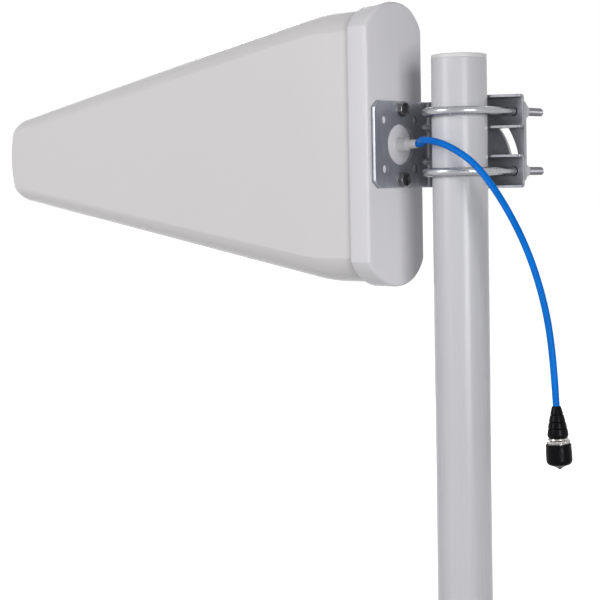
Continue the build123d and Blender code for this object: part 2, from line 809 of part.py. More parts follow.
thread_root = barrel_radius - thread_relief
with BuildPart() as connector_body:
    revolve(
        turned(
            (0, ferrule_start),
            (ferrule_radius, ferrule_start),
            (ferrule_radius, boot_length),
            (ring_radius - ring_edge, boot_length),
            (ring_radius, boot_length + ring_edge),
            (ring_radius, dust_cap_start - 2 * ring_edge),
            (thread_root, dust_cap_start - ring_edge),
            (thread_root, ring_end - thread_relief),
            (barrel_radius, ring_end),
            (barrel_radius, barrel_end - thread_relief),
            (thread_root, barrel_end),
            (barrel_bore_radius, barrel_end),
            (barrel_bore_radius, ring_end),
            (0, ring_end),
        ),
        axis=turning_axis,
    )
    with BuildSketch(station(boot_length)):
        with PolarLocations(ring_radius + flute_radius / 4, ring_flutes):
            Circle(flute_radius)
    extrude(amount=ring_exposed - 2 * ring_edge, mode=Mode.SUBTRACT)
connector_body.part.label = "connector_body"
export_step(connector_body.part, "parts/connector_body.step")

with BuildPart() as connector_insulator:
    with BuildSketch(station(ring_end)):
        Circle(barrel_bore_radius - thread_gap)
        Circle(contact_radius + thread_gap, mode=Mode.SUBTRACT)
    extrude(amount=contact_length / 2)
connector_insulator.part.label = "connector_insulator"
export_step(connector_insulator.part, "parts/connector_insulator.step")

with BuildPart() as centre_contact:
    with BuildSketch(station(ring_end)):
        Circle(contact_radius)
    extrude(amount=contact_length)
    with BuildSketch(station(ring_end + contact_length)):
        Circle(contact_bore_radius)
    extrude(amount=-(contact_length - contact_radius), mode=Mode.SUBTRACT)
centre_contact.part.label = "centre_contact"
export_step(centre_contact.part, "parts/centre_contact.step")

bead_radius = dust_cap_radius + dust_cap_bead
bead_end = dust_cap_start + dust_cap_bead_length
shoulder_radius = dust_cap_radius - dust_cap_shoulder
shoulder_rise = 1.5 * dust_cap_shoulder
shoulder_start = dust_cap_end - shoulder_rise
arc_radius = (dust_cap_shoulder**2 + shoulder_rise**2) / (2 * dust_cap_shoulder)
half_turn = math.asin(shoulder_rise / arc_radius) / 2
with BuildPart() as dust_cap:
    with BuildSketch(connector_plane()):
        with BuildLine():
            Polyline(
                (dust_cap_bore_radius, dust_cap_start),
                (bead_radius, dust_cap_start),
                (bead_radius, bead_end),
                (dust_cap_radius, bead_end + dust_cap_bead),
                (dust_cap_radius, shoulder_start),
            )
            ThreePointArc(
                (dust_cap_radius, shoulder_start),
                (
                    dust_cap_radius - arc_radius * (1 - math.cos(half_turn)),
                    shoulder_start + arc_radius * math.sin(half_turn),
                ),
                (shoulder_radius, dust_cap_end),
            )
            Polyline(
                (shoulder_radius, dust_cap_end),
                (nib_radius, nib_start),
                (nib_radius / 3, nib_start + nib_length),
                (0, nib_start + nib_length),
                (0, barrel_end + dust_cap_head_room),
                (dust_cap_bore_radius, barrel_end + dust_cap_head_room),
                (dust_cap_bore_radius, dust_cap_start),
            )
        make_face()
    revolve(axis=turning_axis)
dust_cap.part.label = "dust_cap"
export_step(dust_cap.part, "parts/dust_cap.step")
print("connector axis", connector_axis)
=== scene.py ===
import math

import bmesh
import bpy
import numpy as np
from mathutils import Matrix, Vector
from mathutils.geometry import delaunay_2d_cdt


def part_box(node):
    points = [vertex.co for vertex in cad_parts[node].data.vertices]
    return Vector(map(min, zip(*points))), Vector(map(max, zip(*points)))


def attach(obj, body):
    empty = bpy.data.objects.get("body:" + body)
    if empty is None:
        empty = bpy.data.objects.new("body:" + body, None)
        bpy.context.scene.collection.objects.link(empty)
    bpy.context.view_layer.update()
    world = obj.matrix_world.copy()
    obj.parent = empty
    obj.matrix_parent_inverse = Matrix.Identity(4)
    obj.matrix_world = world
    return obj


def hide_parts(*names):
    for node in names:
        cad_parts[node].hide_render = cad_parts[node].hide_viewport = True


# Looks of a log-periodic directional antenna on its mast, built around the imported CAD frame.
# Metres, in the part's frame: the origin is the centre of the mast's foot, +Z runs up the
# mast, the antenna looks along -X, and +Y is the side that carries the clamp's nuts.

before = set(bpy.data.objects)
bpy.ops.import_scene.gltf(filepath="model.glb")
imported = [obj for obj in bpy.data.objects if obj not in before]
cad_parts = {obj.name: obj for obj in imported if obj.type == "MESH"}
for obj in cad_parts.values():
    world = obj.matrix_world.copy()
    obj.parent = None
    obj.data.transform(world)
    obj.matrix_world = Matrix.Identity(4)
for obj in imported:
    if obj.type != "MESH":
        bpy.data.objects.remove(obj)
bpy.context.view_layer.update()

MM = 0.001
TURN = 2 * math.pi


def lowest(node):
    """Lowest corner of a CAD node."""
    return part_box(node)[0]


def highest(node):
    """Highest corner of a CAD node."""
    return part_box(node)[1]


# ---------------------------------------------------------------- places, from the frame
boresight_z = (lowest("radome_shell").z + highest("radome_shell").z) / 2
mast_radius = highest("mast_tube").x
mast_wall = 2 * MM
mast_shoulder_z = highest("mast_tube").z
mast_top_z = highest("mast_top_cap").z

rear_face_x = highest("rear_cap").x
cap_front_x = lowest("rear_cap").x
cap_height = highest("rear_cap").z - lowest("rear_cap").z
cap_width = highest("rear_cap").y - lowest("rear_cap").y
cap_rise = 19.5 * MM
cap_wall = 2.8 * MM
cap_crown = 2.5 * MM
cap_edge = 3 * MM
cap_panel_x = rear_face_x - 5.5 * MM

tip_x = lowest("radome_shell").x
radome_rear_x = highest("radome_shell").x
radome_height = highest("radome_shell").z - lowest("radome_shell").z
radome_width = highest("radome_shell").y - lowest("radome_shell").y
radome_rise = 19 * MM
radome_wall = 2.2 * MM
taper_x = cap_front_x - 41 * MM
tip_height = 71 * MM
tip_width = 38 * MM
tip_rise = 12 * MM
nose_bulge = 7.5 * MM
nose_radius = 4 * MM

bracket_sheet = 2.5 * MM
bracket_near_y = lowest("tilt_bracket").y
bracket_far_y = highest("tilt_bracket").y
bracket_aft_x = highest("tilt_bracket").x
bracket_height = highest("tilt_bracket").z - lowest("tilt_bracket").z
bracket_rear_x = rear_face_x + bracket_sheet

rod_radius = 3 * MM
half_leg = highest("upper_u_bolt").x - rod_radius
upper_z = (lowest("upper_u_bolt").z + highest("upper_u_bolt").z) / 2
lower_z = (lowest("lower_u_bolt").z + highest("lower_u_bolt").z) / 2
half_clamp = (upper_z - lower_z) / 2
rod_end_y = highest("upper_u_bolt").y
bow_centre_y = lowest("upper_u_bolt").y + half_leg + rod_radius
saddle_sheet = 2 * MM
saddle_back_y = highest("upper_saddle").y
saddle_half_length = highest("upper_saddle").x
saddle_height = highest("upper_saddle").z - lowest("upper_saddle").z
washer_y = lowest("flat_washers").y
spring_washer_y = lowest("spring_washers").y
nut_y = lowest("hex_nuts").y
nut_end_y = highest("hex_nuts").y
leg_places = [(x, z) for x in (-half_leg, half_leg) for z in (lower_z, upper_z)]
bolt_offset = 26 * MM
head_x = lowest("bracket_washers").x + 1.2 * MM
head_end_x = highest("bracket_bolts").x
nozzle_end_x = highest("cable_grommet").x

cable_radius = 2.4 * MM
cable_route = [
    (nozzle_end_x, 0.0, boresight_z),
    (-0.0346, 0.0, boresight_z),
    (-0.0310, -0.0024, boresight_z + 0.0004),
    (-0.0282, -0.0066, boresight_z + 0.0009),
    (-0.0248, -0.0142, boresight_z + 0.0014),
    (-0.0155, -0.0244, boresight_z + 0.0018),
    (-0.0015, -0.0306, boresight_z + 0.0010),
    (0.0165, -0.0324, boresight_z - 0.0042),
    (0.0375, -0.0316, boresight_z - 0.0170),
    (0.0580, -0.0302, boresight_z - 0.0420),
    (0.0770, -0.0286, boresight_z - 0.0750),
    (0.0900, -0.0274, boresight_z - 0.1130),
    (0.0955, -0.0265, boresight_z - 0.1500),
    (0.0970, -0.0260, boresight_z - 0.1810),
]
connector_top = np.array(cable_route[-1])
connector_axis = connector_top - np.array(cable_route[-2])
connector_axis /= np.linalg.norm(connector_axis)


# ---------------------------------------------------------------- surfaces
def grid_faces(rows, columns):
    """Quads of a grid of points numbered row by row, each row closed on itself."""
    across = np.arange(columns)
    down = np.arange(rows - 1)[:, None] * columns
    onward = (across + 1) % columns
    corners = (down + across, down + onward, down + columns + onward, down + columns + across)
    return np.stack(corners, -1).reshape(-1, 4)


def softened(corners, radius, steps=4):
    """Polyline whose inner corners become quadratic curves.

    Each curve runs from a point `radius` before the corner to one as far after it, or 0.48
    of the shorter edge, with the corner as its control point.
    """
    points = np.asarray(corners, float)
    corner = points[1:-1]
    to_before = points[:-2] - corner
    to_after = points[2:] - corner
    shorter = np.minimum(np.linalg.norm(to_before, axis=1), np.linalg.norm(to_after, axis=1))
    reach = np.minimum(radius, 0.48 * shorter)[:, None]
    start = corner + reach * to_before / np.linalg.norm(to_before, axis=1)[:, None]
    end = corner + reach * to_after / np.linalg.norm(to_after, axis=1)[:, None]
    t = np.linspace(0, 1, steps + 1)[None, :, None]
    curve = (1 - t) ** 2 * start[:, None] + 2 * t * (1 - t) * corner[:, None] + t**2 * end[:, None]
    return np.concatenate([points[:1], curve.reshape(-1, 2), points[-1:]])


def side_and_lift(axis):
    """Two unit vectors square to an axis and to each other."""
    axis = np.asarray(axis, float)
    helper = np.array([0.0, 1.0, 0.0]) if abs(axis[1]) < 0.9 else np.array([0.0, 0.0, 1.0])
    side = np.cross(axis, helper)
    side /= np.linalg.norm(side)
    return side, np.cross(axis, side)


def lathe(profile, origin, axis, turns=96, ripple=None):
    """Surface of revolution of (radius, distance) pairs about an axis.

    At angle t the point is origin + s * axis + r * (cos t * side + sin t * lift), where
    ripple(t, r, s), if given, is added to r wherever r is over zero.
    """
    r, s = (column[:, None] for column in np.asarray(profile, float).T)
    t = np.linspace(0, TURN, turns, endpoint=False)[None, :]
    radius = r + 0 * t
    if ripple is not None:
        radius = radius + np.where(r > 0, ripple(t, r, s), 0.0)
    side, lift = side_and_lift(axis)
    points = (
        np.asarray(origin, float)
        + s[..., None] * np.asarray(axis, float)
        + (radius * np.cos(t))[..., None] * side
        + (radius * np.sin(t))[..., None] * lift
    )
    return points.reshape(-1, 3), grid_faces(len(r), turns)


def screw_thread(pitch, depth, start, end):
    """Ripple of a screw thread between two distances along the axis.

    The radius drops by depth times a triangle wave of s / pitch - t / turn, which fades in
    and out over one pitch at each end.
    """

    def ripple(t, r, s):
        phase = (s / pitch - t / TURN) % 1.0
        wave = np.abs(2 * phase - 1)
        fade = np.clip(np.minimum(s - start, end - s) / pitch, 0, 1)
        return -depth * wave * fade

    return ripple


def make_piece(name, patches, finishes, body, nodes=(), sharp=34):
    """One object from patches of (points, faces, finish number), riding on a CAD body."""
    starts = np.cumsum([0] + [len(points) for points, _, _ in patches])
    faces, marks = [], []
    for start, (_, patch_faces, mark) in zip(starts, patches):
        faces += (np.asarray(patch_faces) + start).tolist()
        marks += [mark] * len(patch_faces)
    mesh = bpy.data.meshes.new(name)
    mesh.from_pydata(np.concatenate([points for points, _, _ in patches]).tolist(), [], faces)
    mesh.polygons.foreach_set("material_index", marks)
    work = bmesh.new()
    work.from_mesh(mesh)
    bmesh.ops.remove_doubles(work, verts=work.verts, dist=2e-6)
    bmesh.ops.recalc_face_normals(work, faces=work.faces)
    work.to_mesh(mesh)
    work.free()
    mesh.shade_smooth()
    mesh.set_sharp_from_angle(angle=math.radians(sharp))
    for finish in finishes:
        mesh.materials.append(finish)
    piece = bpy.data.objects.new(name, mesh)
    bpy.context.scene.collection.objects.link(piece)
    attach(piece, body)
    if nodes:
        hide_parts(*nodes)
    return piece


def steady_normals(piece):
    """Lets the large faces set the shading next to small rounded ones."""
    weighting = piece.modifiers.new("face_weighting", "WEIGHTED_NORMAL")
    weighting.mode = "FACE_AREA"
    weighting.weight = 100
    weighting.keep_sharp = True


# ---------------------------------------------------------------- finishes
def new_finish(name, **sockets):
    """Material with a Principled shader whose plain numbers sit on its own sockets."""
    material = bpy.data.materials.new(name)
    material.use_nodes = True
    tree = material.node_tree
    shader = tree.nodes["Principled BSDF"]
    for socket, value in sockets.items():
        shader.inputs[socket.replace("_", " ")].default_value = value
    return material, tree, shader


def pattern(tree, scale, stretch=(1, 1, 1), detail=4.0, **values):
    """Noise over the piece's own place, stretched along its axes. Returns its value."""
    place = tree.nodes.new("ShaderNodeTexCoord")
    mapping = tree.nodes.new("ShaderNodeMapping")
    mapping.inputs["Scale"].default_value = stretch
    texture = tree.nodes.new("ShaderNodeTexNoise")
    texture.inputs["Scale"].default_value = scale
    texture.inputs["Detail"].default_value = detail
    for socket, value in values.items():
        texture.inputs[socket].default_value = value
    tree.links.new(place.outputs["Object"], mapping.inputs["Vector"])
    tree.links.new(mapping.outputs["Vector"], texture.inputs["Vector"])
    return texture.outputs[0]


def shade(tree, value, low, high, first, second):
    """Colour ramp from first to second as value goes from low to high."""
    ramp = tree.nodes.new("ShaderNodeValToRGB")
    ramp.color_ramp.elements[0].position = low
    ramp.color_ramp.elements[0].color = (*first, 1)
    ramp.color_ramp.elements[1].position = high
    ramp.color_ramp.elements[1].color = (*second, 1)
    tree.links.new(value, ramp.inputs["Fac"])
    return ramp.outputs["Color"]


def span(tree, value, low, high, first, second):
    """Number that goes from first to second as value goes from low to high."""
    mapped = tree.nodes.new("ShaderNodeMapRange")
    numbers = {"From Min": low, "From Max": high, "To Min": first, "To Max": second}
    for socket, number in numbers.items():
        mapped.inputs[socket].default_value = number
    tree.links.new(value, mapped.inputs["Value"])
    return mapped.outputs["Result"]


def darkened(tree, base, marks):
    """Colour output that is one colour output times another."""
    mix = tree.nodes.new("ShaderNodeMix")
    mix.data_type = "RGBA"
    mix.blend_type = "MULTIPLY"
    mix.inputs[0].default_value = 1.0
    tree.links.new(base, mix.inputs[6])
    tree.links.new(marks, mix.inputs[7])
    return mix.outputs[2]


def relief(tree, shader, *layers):
    """Bump from (value, strength, height in metres) layers, one on top of another."""
    normal = None
    for value, strength, height in layers:
        bump = tree.nodes.new("ShaderNodeBump")
        bump.inputs["Strength"].default_value = strength
        bump.inputs["Distance"].default_value = height
        tree.links.new(value, bump.inputs["Height"])
        if normal is not None:
            tree.links.new(normal, bump.inputs["Normal"])
        normal = bump.outputs["Normal"]
    tree.links.new(normal, shader.inputs["Normal"])


def moulded_plastic(name, light, dark, rough, drift_scale):
    """White moulded plastic: slow tint drift, fine mottle, faint smears and orange peel."""
    material, tree, shader = new_finish(name, IOR=1.45, Specular_IOR_Level=0.26)
    drift = pattern(tree, drift_scale, detail=2.0)
    mottle = pattern(tree, 900.0, detail=3.0)
    base = shade(tree, drift, 0.35, 0.68, dark, light)
    specks = shade(tree, mottle, 0.30, 0.72, (0.982, 0.980, 0.980), (1.0, 1.0, 1.0))
    tree.links.new(darkened(tree, base, specks), shader.inputs["Base Color"])
    smear = pattern(tree, 12.0, stretch=(1, 1, 0.5), detail=2.0)
    gloss = span(tree, smear, 0.35, 0.70, rough - 0.005, rough + 0.01)
    tree.links.new(gloss, shader.inputs["Roughness"])
    relief(tree, shader, (pattern(tree, 420.0, detail=2.0), 0.05, 0.0002))
    return material


def mast_paint():
    """Gloss white powder coat: even colour, orange peel and faint vertical rub marks."""
    material, tree, shader = new_finish("mast_paint", IOR=1.45, Specular_IOR_Level=0.3)
    drift = pattern(tree, 14.0, stretch=(1, 1, 0.3), detail=3.0)
    rubs = pattern(tree, 160.0, stretch=(1, 1, 0.04), detail=4.0)
    base = shade(tree, drift, 0.35, 0.70, (0.635, 0.635, 0.668), (0.665, 0.665, 0.697))
    marks = shade(tree, rubs, 0.25, 0.60, (0.965, 0.96, 0.955), (1, 1, 1))
    tree.links.new(darkened(tree, base, marks), shader.inputs["Base Color"])
    tree.links.new(span(tree, rubs, 0.3, 0.7, 0.30, 0.22), shader.inputs["Roughness"])
    relief(tree, shader, (pattern(tree, 520.0, detail=1.5), 0.12, 0.0002))
    return material


def rolled_steel(
    name, light, dark, rough, stretch=(1, 1, 1), cloud_half=0.35, depth=0.0001, metal=1.0, grain_dark=0.8
):
    """Plated steel: rolling grain along one axis, cloudy plating and small scuffs.

    cloud_half is half the width of the step from dark plating to light.
    """
    material, tree, shader = new_finish(name, Metallic=metal)
    cloud = pattern(tree, 75.0, detail=5.0, Distortion=0.6)
    grain = pattern(tree, 420.0, stretch=stretch, detail=3.0)
    scuffs = pattern(tree, 230.0, detail=6.0, Roughness=0.72)
    base = shade(tree, cloud, 0.5 - cloud_half, 0.5 + cloud_half, dark, light)
    streaks = shade(tree, grain, 0.25, 0.75, (grain_dark,) * 3, (1, 1, 1))
    plated = darkened(tree, base, streaks)
    worn = shade(tree, scuffs, 0.60, 0.72, (1, 1, 1), (1.12, 1.11, 1.10))
    tree.links.new(darkened(tree, plated, worn), shader.inputs["Base Color"])
    drift = 0.3 * (1 - grain_dark)
    gloss = span(tree, grain, 0.3, 0.7, rough - drift, rough + drift)
    tree.links.new(gloss, shader.inputs["Roughness"])
    relief(tree, shader, (grain, 0.10, depth), (scuffs, 0.12, depth))
    return material


def rubber(name, light, dark, rough):
    """Moulded black rubber: fine grain, dusty bloom and soft sheen."""
    material, tree, shader = new_finish(name, IOR=1.4, Specular_IOR_Level=0.10)
    bloom = pattern(tree, 130.0, detail=5.0)
    grain = pattern(tree, 2400.0, detail=2.0)
    tree.links.new(shade(tree, bloom, 0.4, 0.75, dark, light), shader.inputs["Base Color"])
    gloss = span(tree, bloom, 0.35, 0.7, rough - 0.06, rough + 0.10)
    tree.links.new(gloss, shader.inputs["Roughness"])
    relief(tree, shader, (grain, 0.18, 0.0001), (bloom, 0.10, 0.0003))
    return material


def cable_jacket():
    """Blue extruded jacket: slight drift in colour, extrusion lines and a satin gloss."""
    material, tree, shader = new_finish("cable_jacket", IOR=1.4, Specular_IOR_Level=0.12)
    drift = pattern(tree, 60.0, detail=3.0)
    lines = pattern(tree, 1500.0, stretch=(1, 1, 0.12), detail=2.0)
    base = shade(tree, drift, 0.35, 0.70, (0.000, 0.165, 0.660), (0.000, 0.200, 0.780))
    tree.links.new(base, shader.inputs["Base Color"])
    tree.links.new(span(tree, lines, 0.3, 0.7, 0.34, 0.46), shader.inputs["Roughness"])
    relief(tree, shader, (lines, 0.14, 0.0001))
    return material


def plated_metal(name, light, dark, rough):
    """Machined and plated metal: turning marks and a cloudy tone."""
    material, tree, shader = new_finish(name, Metallic=1.0)
    cloud = pattern(tree, 210.0, detail=4.0)
    marks = pattern(tree, 1400.0, stretch=(0.2, 0.2, 1), detail=3.0)
    tree.links.new(shade(tree, cloud, 0.3, 0.7, dark, light), shader.inputs["Base Color"])
    gloss = span(tree, marks, 0.3, 0.7, rough - 0.06, rough + 0.08)
    tree.links.new(gloss, shader.inputs["Roughness"])
    relief(tree, shader, (marks, 0.10, 0.00005))
    return material


radome_plastic = moulded_plastic(
    "radome_plastic", (0.765, 0.745, 0.757), (0.757, 0.738, 0.750), 0.26, 5.0
)
cap_plastic = moulded_plastic(
    "cap_plastic", (0.790, 0.777, 0.806), (0.775, 0.762, 0.792), 0.30, 14.0
)
grommet_plastic = moulded_plastic(
    "grommet_plastic", (0.80, 0.79, 0.80), (0.76, 0.75, 0.76), 0.28, 90.0
)
mast_coating = mast_paint()
mast_cap_plastic = moulded_plastic(
    "mast_cap_plastic", (0.79, 0.785, 0.79), (0.76, 0.755, 0.765), 0.33, 60.0
)
bracket_face = rolled_steel(
    "bracket_zinc", (0.43, 0.44, 0.48), (0.34, 0.35, 0.385), 0.42, (0.1, 1, 0.1), metal=0.6
)
saddle_face = rolled_steel(
    "saddle_zinc", (0.38, 0.385, 0.42), (0.30, 0.305, 0.335), 0.44, (0.1, 1, 1), metal=0.7
)
# Brighter, more metallic copy of the zinc for cut edges: partly the bare cut edge, partly painted
# highlight, since it is laid only on edges that face the camera and lamps.
cut_edge_painted_highlight = rolled_steel(
    "cut_edge_painted_highlight", (0.52, 0.53, 0.57), (0.36, 0.37, 0.40), 0.34, (1, 1, 0.1)
)
drawn_rod = {"cloud_half": 0.4, "depth": 0.00001}
turned_part = {"cloud_half": 0.4, "depth": 0.00003, "grain_dark": 0.93}
rod_zinc = rolled_steel(
    "rod_zinc", (0.42, 0.425, 0.445), (0.32, 0.325, 0.34), 0.27, grain_dark=0.96, **drawn_rod
)
# Darker copy of the rod's zinc for the threaded ends: painted shade.
thread_zinc_painted_shade = rolled_steel(
    "thread_zinc_painted_shade", (0.25, 0.25, 0.27), (0.18, 0.18, 0.20), 0.34, **drawn_rod
)
fastener_zinc = rolled_steel(
    "fastener_zinc", (0.46, 0.46, 0.48), (0.30, 0.30, 0.32), 0.30, **turned_part
)
bolt_zinc = rolled_steel(
    "bolt_zinc", (0.26, 0.255, 0.255), (0.17, 0.165, 0.165), 0.22, **turned_part
)
jacket_blue = cable_jacket()
boot_rubber = rubber("boot_rubber", (0.006, 0.006, 0.007), (0.002, 0.002, 0.003), 0.26)
cap_rubber = rubber("cap_rubber", (0.003, 0.003, 0.004), (0.001, 0.001, 0.002), 0.18)
seal_rubber = rubber("seal_rubber", (0.05, 0.05, 0.05), (0.03, 0.03, 0.03), 0.60)
nickel = plated_metal("nickel", (0.50, 0.485, 0.47), (0.30, 0.29, 0.285), 0.22)
brass = plated_metal("brass", (0.70, 0.53, 0.26), (0.58, 0.43, 0.20), 0.28)
aluminium = plated_metal("aluminium", (0.74, 0.75, 0.77), (0.62, 0.63, 0.65), 0.36)
natural_nylon = moulded_plastic("natural_nylon", (0.60, 0.60, 0.58), (0.52, 0.52, 0.50), 0.50, 60.0)
insulator_white = moulded_plastic(
    "insulator_white", (0.86, 0.86, 0.84), (0.80, 0.80, 0.78), 0.42, 200.0
)


# ---------------------------------------------------------------- mast
def build_mast():
    """Open tube and its cap with a hollow plug, each turned from one closed profile."""
    edge = 0.4 * MM
    inner = mast_radius - mast_wall
    seam_z = 0.3 * mast_shoulder_z
    corners = [
        (inner, seam_z),
        (inner, 0),
        (mast_radius, 0),
        (mast_radius, mast_shoulder_z),
        (inner, mast_shoulder_z),
        (inner, seam_z),
    ]
    patch = (*lathe(softened(corners, edge), (0, 0, 0), (0, 0, 1), turns=160), 0)
    make_piece("mast_skin", [patch], [mast_coating], "mast", ["mast_tube"])

    plug_wall = 2 * MM
    plug_end = mast_shoulder_z - 14 * MM
    corners = [
        (0, mast_top_z),
        (mast_radius, mast_top_z),
        (mast_radius, mast_shoulder_z),
        (inner, mast_shoulder_z),
        (inner, plug_end),
        (inner - plug_wall, plug_end),
        (inner - plug_wall, mast_shoulder_z),
        (0, mast_shoulder_z),
    ]
    radii = np.array([2.0, 0.25, 0.2, 0.3, 0.3, 0.3]) * MM
    patch = (*lathe(softened(corners, radii, 6), (0, 0, 0), (0, 0, 1), turns=160), 0)
    finishes = [mast_cap_plastic]
    make_piece("mast_cap_skin", [patch], finishes, "mast", ["mast_top_cap"])


# ---------------------------------------------------------------- radome and rear cap
def panel_ring(height, width, rise, corner):
    """Outlines of a panel with two flat sides and two arched ends, one for each size given.

    With c half the width and s the rise, the end arc has radius (c * c + s * s) / 2s. A
    corner arc is tangent to the flat side and to the end arc. The quarter outline from the
    side's middle to the end's top is mirrored into four. Returns (y, z) for each point.
    """
    c, s = width / 2, rise
    big = (c**2 + s**2) / (2 * s)
    centre = height / 2 - big
    corner_z = centre + np.sqrt((big - corner) ** 2 - (c - corner) ** 2)
    turn = np.arctan2(corner_z - centre, c - corner)
    k = np.linspace(0, 1, 7)[None, :-1]
    a = turn * np.linspace(0, 1, 11)[None, :-1]
    b = turn + (TURN / 4 - turn) * np.linspace(0, 1, 19)[None, :]
    y = np.hstack([c + 0 * k, c - corner + corner * np.cos(a), big * np.cos(b)])
    z = np.hstack([corner_z * k, corner_z + corner * np.sin(a), centre + big * np.sin(b)])
    whole_y = np.hstack([y, -y[:, -2::-1], -y[:, 1:], y[:, -2:0:-1]])
    whole_z = np.hstack([z, z[:, -2::-1], -z[:, 1:], -z[:, -2:0:-1]])
    return whole_y, whole_z


def radome_surface(inset):
    """Radome wall as rings of points from its open rear to the pole of its nose.

    Sizes fall along a straight taper that a parabola eases in: before it nothing, over its
    length L the drop (d + L)^2 / 4L, past it d. At the nose the outline draws in by
    r (1 - cos a) while x runs on by r sin a, and the end face bulges as 1 - (z / half)^2.
    """
    ease = 13 * MM
    nose_start = tip_x + nose_bulge + nose_radius
    stations = np.concatenate(
        [
            np.linspace(radome_rear_x, taper_x + ease, 5)[:-1],
            np.linspace(taper_x + ease, taper_x - ease, 15)[:-1],
            np.linspace(taper_x - ease, nose_start, 40),
        ]
    )
    turn = np.linspace(0, TURN / 4, 11)[1:]
    shrink = np.linspace(1, 0, 14)[1:]
    flat_rings = len(stations)
    stations = np.concatenate([stations, np.full(len(turn) + len(shrink), nose_start)])
    draw_in = np.concatenate([np.zeros(flat_rings), nose_radius * (1 - np.cos(turn))])
    draw_in = np.concatenate([draw_in, np.full(len(shrink), nose_radius)]) + inset
    run_on = np.concatenate([np.zeros(flat_rings), nose_radius * np.sin(turn)])
    run_on = np.concatenate([run_on, np.full(len(shrink), nose_radius)])
    scale = np.concatenate([np.ones(flat_rings + len(turn)), shrink])[:, None]

    d = taper_x - stations
    drop = np.where(d < -ease, 0, np.where(d < ease, (d + ease) ** 2 / (4 * ease), d))
    share = (drop / (taper_x - tip_x))[:, None]
    draw = 2 * draw_in[:, None]
    height = radome_height + share * (tip_height - radome_height) - draw
    width = radome_width + share * (tip_width - radome_width) - draw
    rise = radome_rise + share * (tip_rise - radome_rise) - draw / 6
    corner = 2.5 * MM + share * 6.5 * MM - draw_in[:, None] * 0.4
    y, z = panel_ring(height, width, rise, corner)
    y, z = y * scale, z * scale
    bulge = nose_bulge * (z / (tip_height / 2)) ** 2
    at_nose = np.clip((nose_start + 30 * MM - stations) / (30 * MM), 0, 1)[:, None]
    x = stations[:, None] - run_on[:, None] + at_nose * (bulge - nose_bulge) + inset
    x[0] -= inset
    points = np.stack([x, y, boresight_z + z], -1)
    return points.reshape(-1, 3), len(stations), y.shape[1]


def build_radome():
    """Outer and inner wall of the radome, joined round its open rear."""
    outer, rings, columns = radome_surface(0.0)
    inner, _, _ = radome_surface(radome_wall)
    faces = grid_faces(rings, columns)
    rim = np.concatenate([outer[:columns], inner[:columns]])
    patches = [(outer, faces, 0), (inner, faces, 0), (rim, grid_faces(2, columns), 0)]
    finishes = [radome_plastic]
    make_piece("radome_skin", patches, finishes, "antenna", ["radome_shell"])


def build_rear_cap():
    """Band that sleeves the radome's rear, a rounded edge and a crowned rear face.

    The rear face is scaled rings of the outline. Past a flat middle of half width f its x
    falls by crown * ((|y| - f) / (half - f))^2.
    """
    face_rings = 12
    lip = 0.7 * MM
    steps = np.linspace(0, TURN / 4, 8)
    lead = np.linspace(0, TURN / 4, 5)
    inset = np.concatenate(
        [
            [cap_wall, cap_wall],
            lip * (1 - np.sin(lead)),
            [0.0],
            cap_edge * (1 - np.cos(steps)),
            np.full(face_rings, cap_edge),
        ]
    )[:, None]
    back = np.concatenate(
        [
            [cap_panel_x, cap_front_x + 0.3 * MM],
            cap_front_x + lip * (1 - np.cos(lead)),
            [rear_face_x - cap_edge - cap_crown],
            rear_face_x - cap_edge * (1 - np.sin(steps)),
            np.full(face_rings, rear_face_x),
        ]
    )[:, None]
    shrink = np.linspace(1, 0, face_rings + 1)[1:]
    scale = np.concatenate([np.ones(len(inset) - face_rings), shrink])[:, None]
    height, width, rise = cap_height - 2 * inset, cap_width - 2 * inset, cap_rise - inset / 3
    y, z = panel_ring(height, width, rise, 1.4 * MM + 0 * inset)
    y, z = y * scale, z * scale
    on_face = np.clip((back - cap_front_x) / (rear_face_x - cap_front_x), 0, 1) ** 4
    flat_half = 10 * MM
    beyond = np.clip(np.abs(y) - flat_half, 0, None) / (cap_width / 2 - flat_half)
    x = back - on_face * cap_crown * beyond**2
    points = np.stack([x, y, boresight_z + z], -1)
    rings, columns = y.shape
    middle = np.tile([cap_panel_x, 0, boresight_z], (columns, 1))
    shut = np.stack([points[0], middle])
    patches = [
        (points.reshape(-1, 3), grid_faces(rings, columns), 0),
        (shut.reshape(-1, 3), grid_faces(2, columns), 0),
    ]
    make_piece("cap_skin", patches, [cap_plastic], "antenna", ["rear_cap"])


def build_grommet():
    """Turned outlet: flange behind the panel, stout boss, then the slim nozzle."""
    boss, nozzle, flange = 4.7 * MM, cable_radius + 0.8 * MM, 8 * MM
    bore = cable_radius + 0.05 * MM
    boss_end = rear_face_x + 9.5 * MM
    flange_x = cap_panel_x - 2 * MM
    corners = [
        (bore, nozzle_end_x - 4 * MM),
        (bore, nozzle_end_x),
        (nozzle, nozzle_end_x),
        (nozzle, boss_end + 1.2 * MM),
        (boss, boss_end),
        (boss, rear_face_x),
        (boss + 2.6 * MM, rear_face_x - 0.1 * MM),
        (boss, rear_face_x - 1.0 * MM),
        (boss, cap_panel_x),
        (flange, cap_panel_x),
        (flange, flange_x),
        (bore, flange_x),
        (bore, nozzle_end_x - 4 * MM),
    ]
    radii = np.array([0.3, 0.5, 1.6, 1.6, 2.4, 0.3, 0.2, 0.2, 0.2, 0.2, 0.2]) * MM
    outline = softened(corners, radii, 5)
    patch = (*lathe(outline, (0, 0, boresight_z), (1, 0, 0), turns=72), 0)
    finishes = [grommet_plastic]
    make_piece("grommet_skin", [patch], finishes, "antenna", ["cable_grommet"])


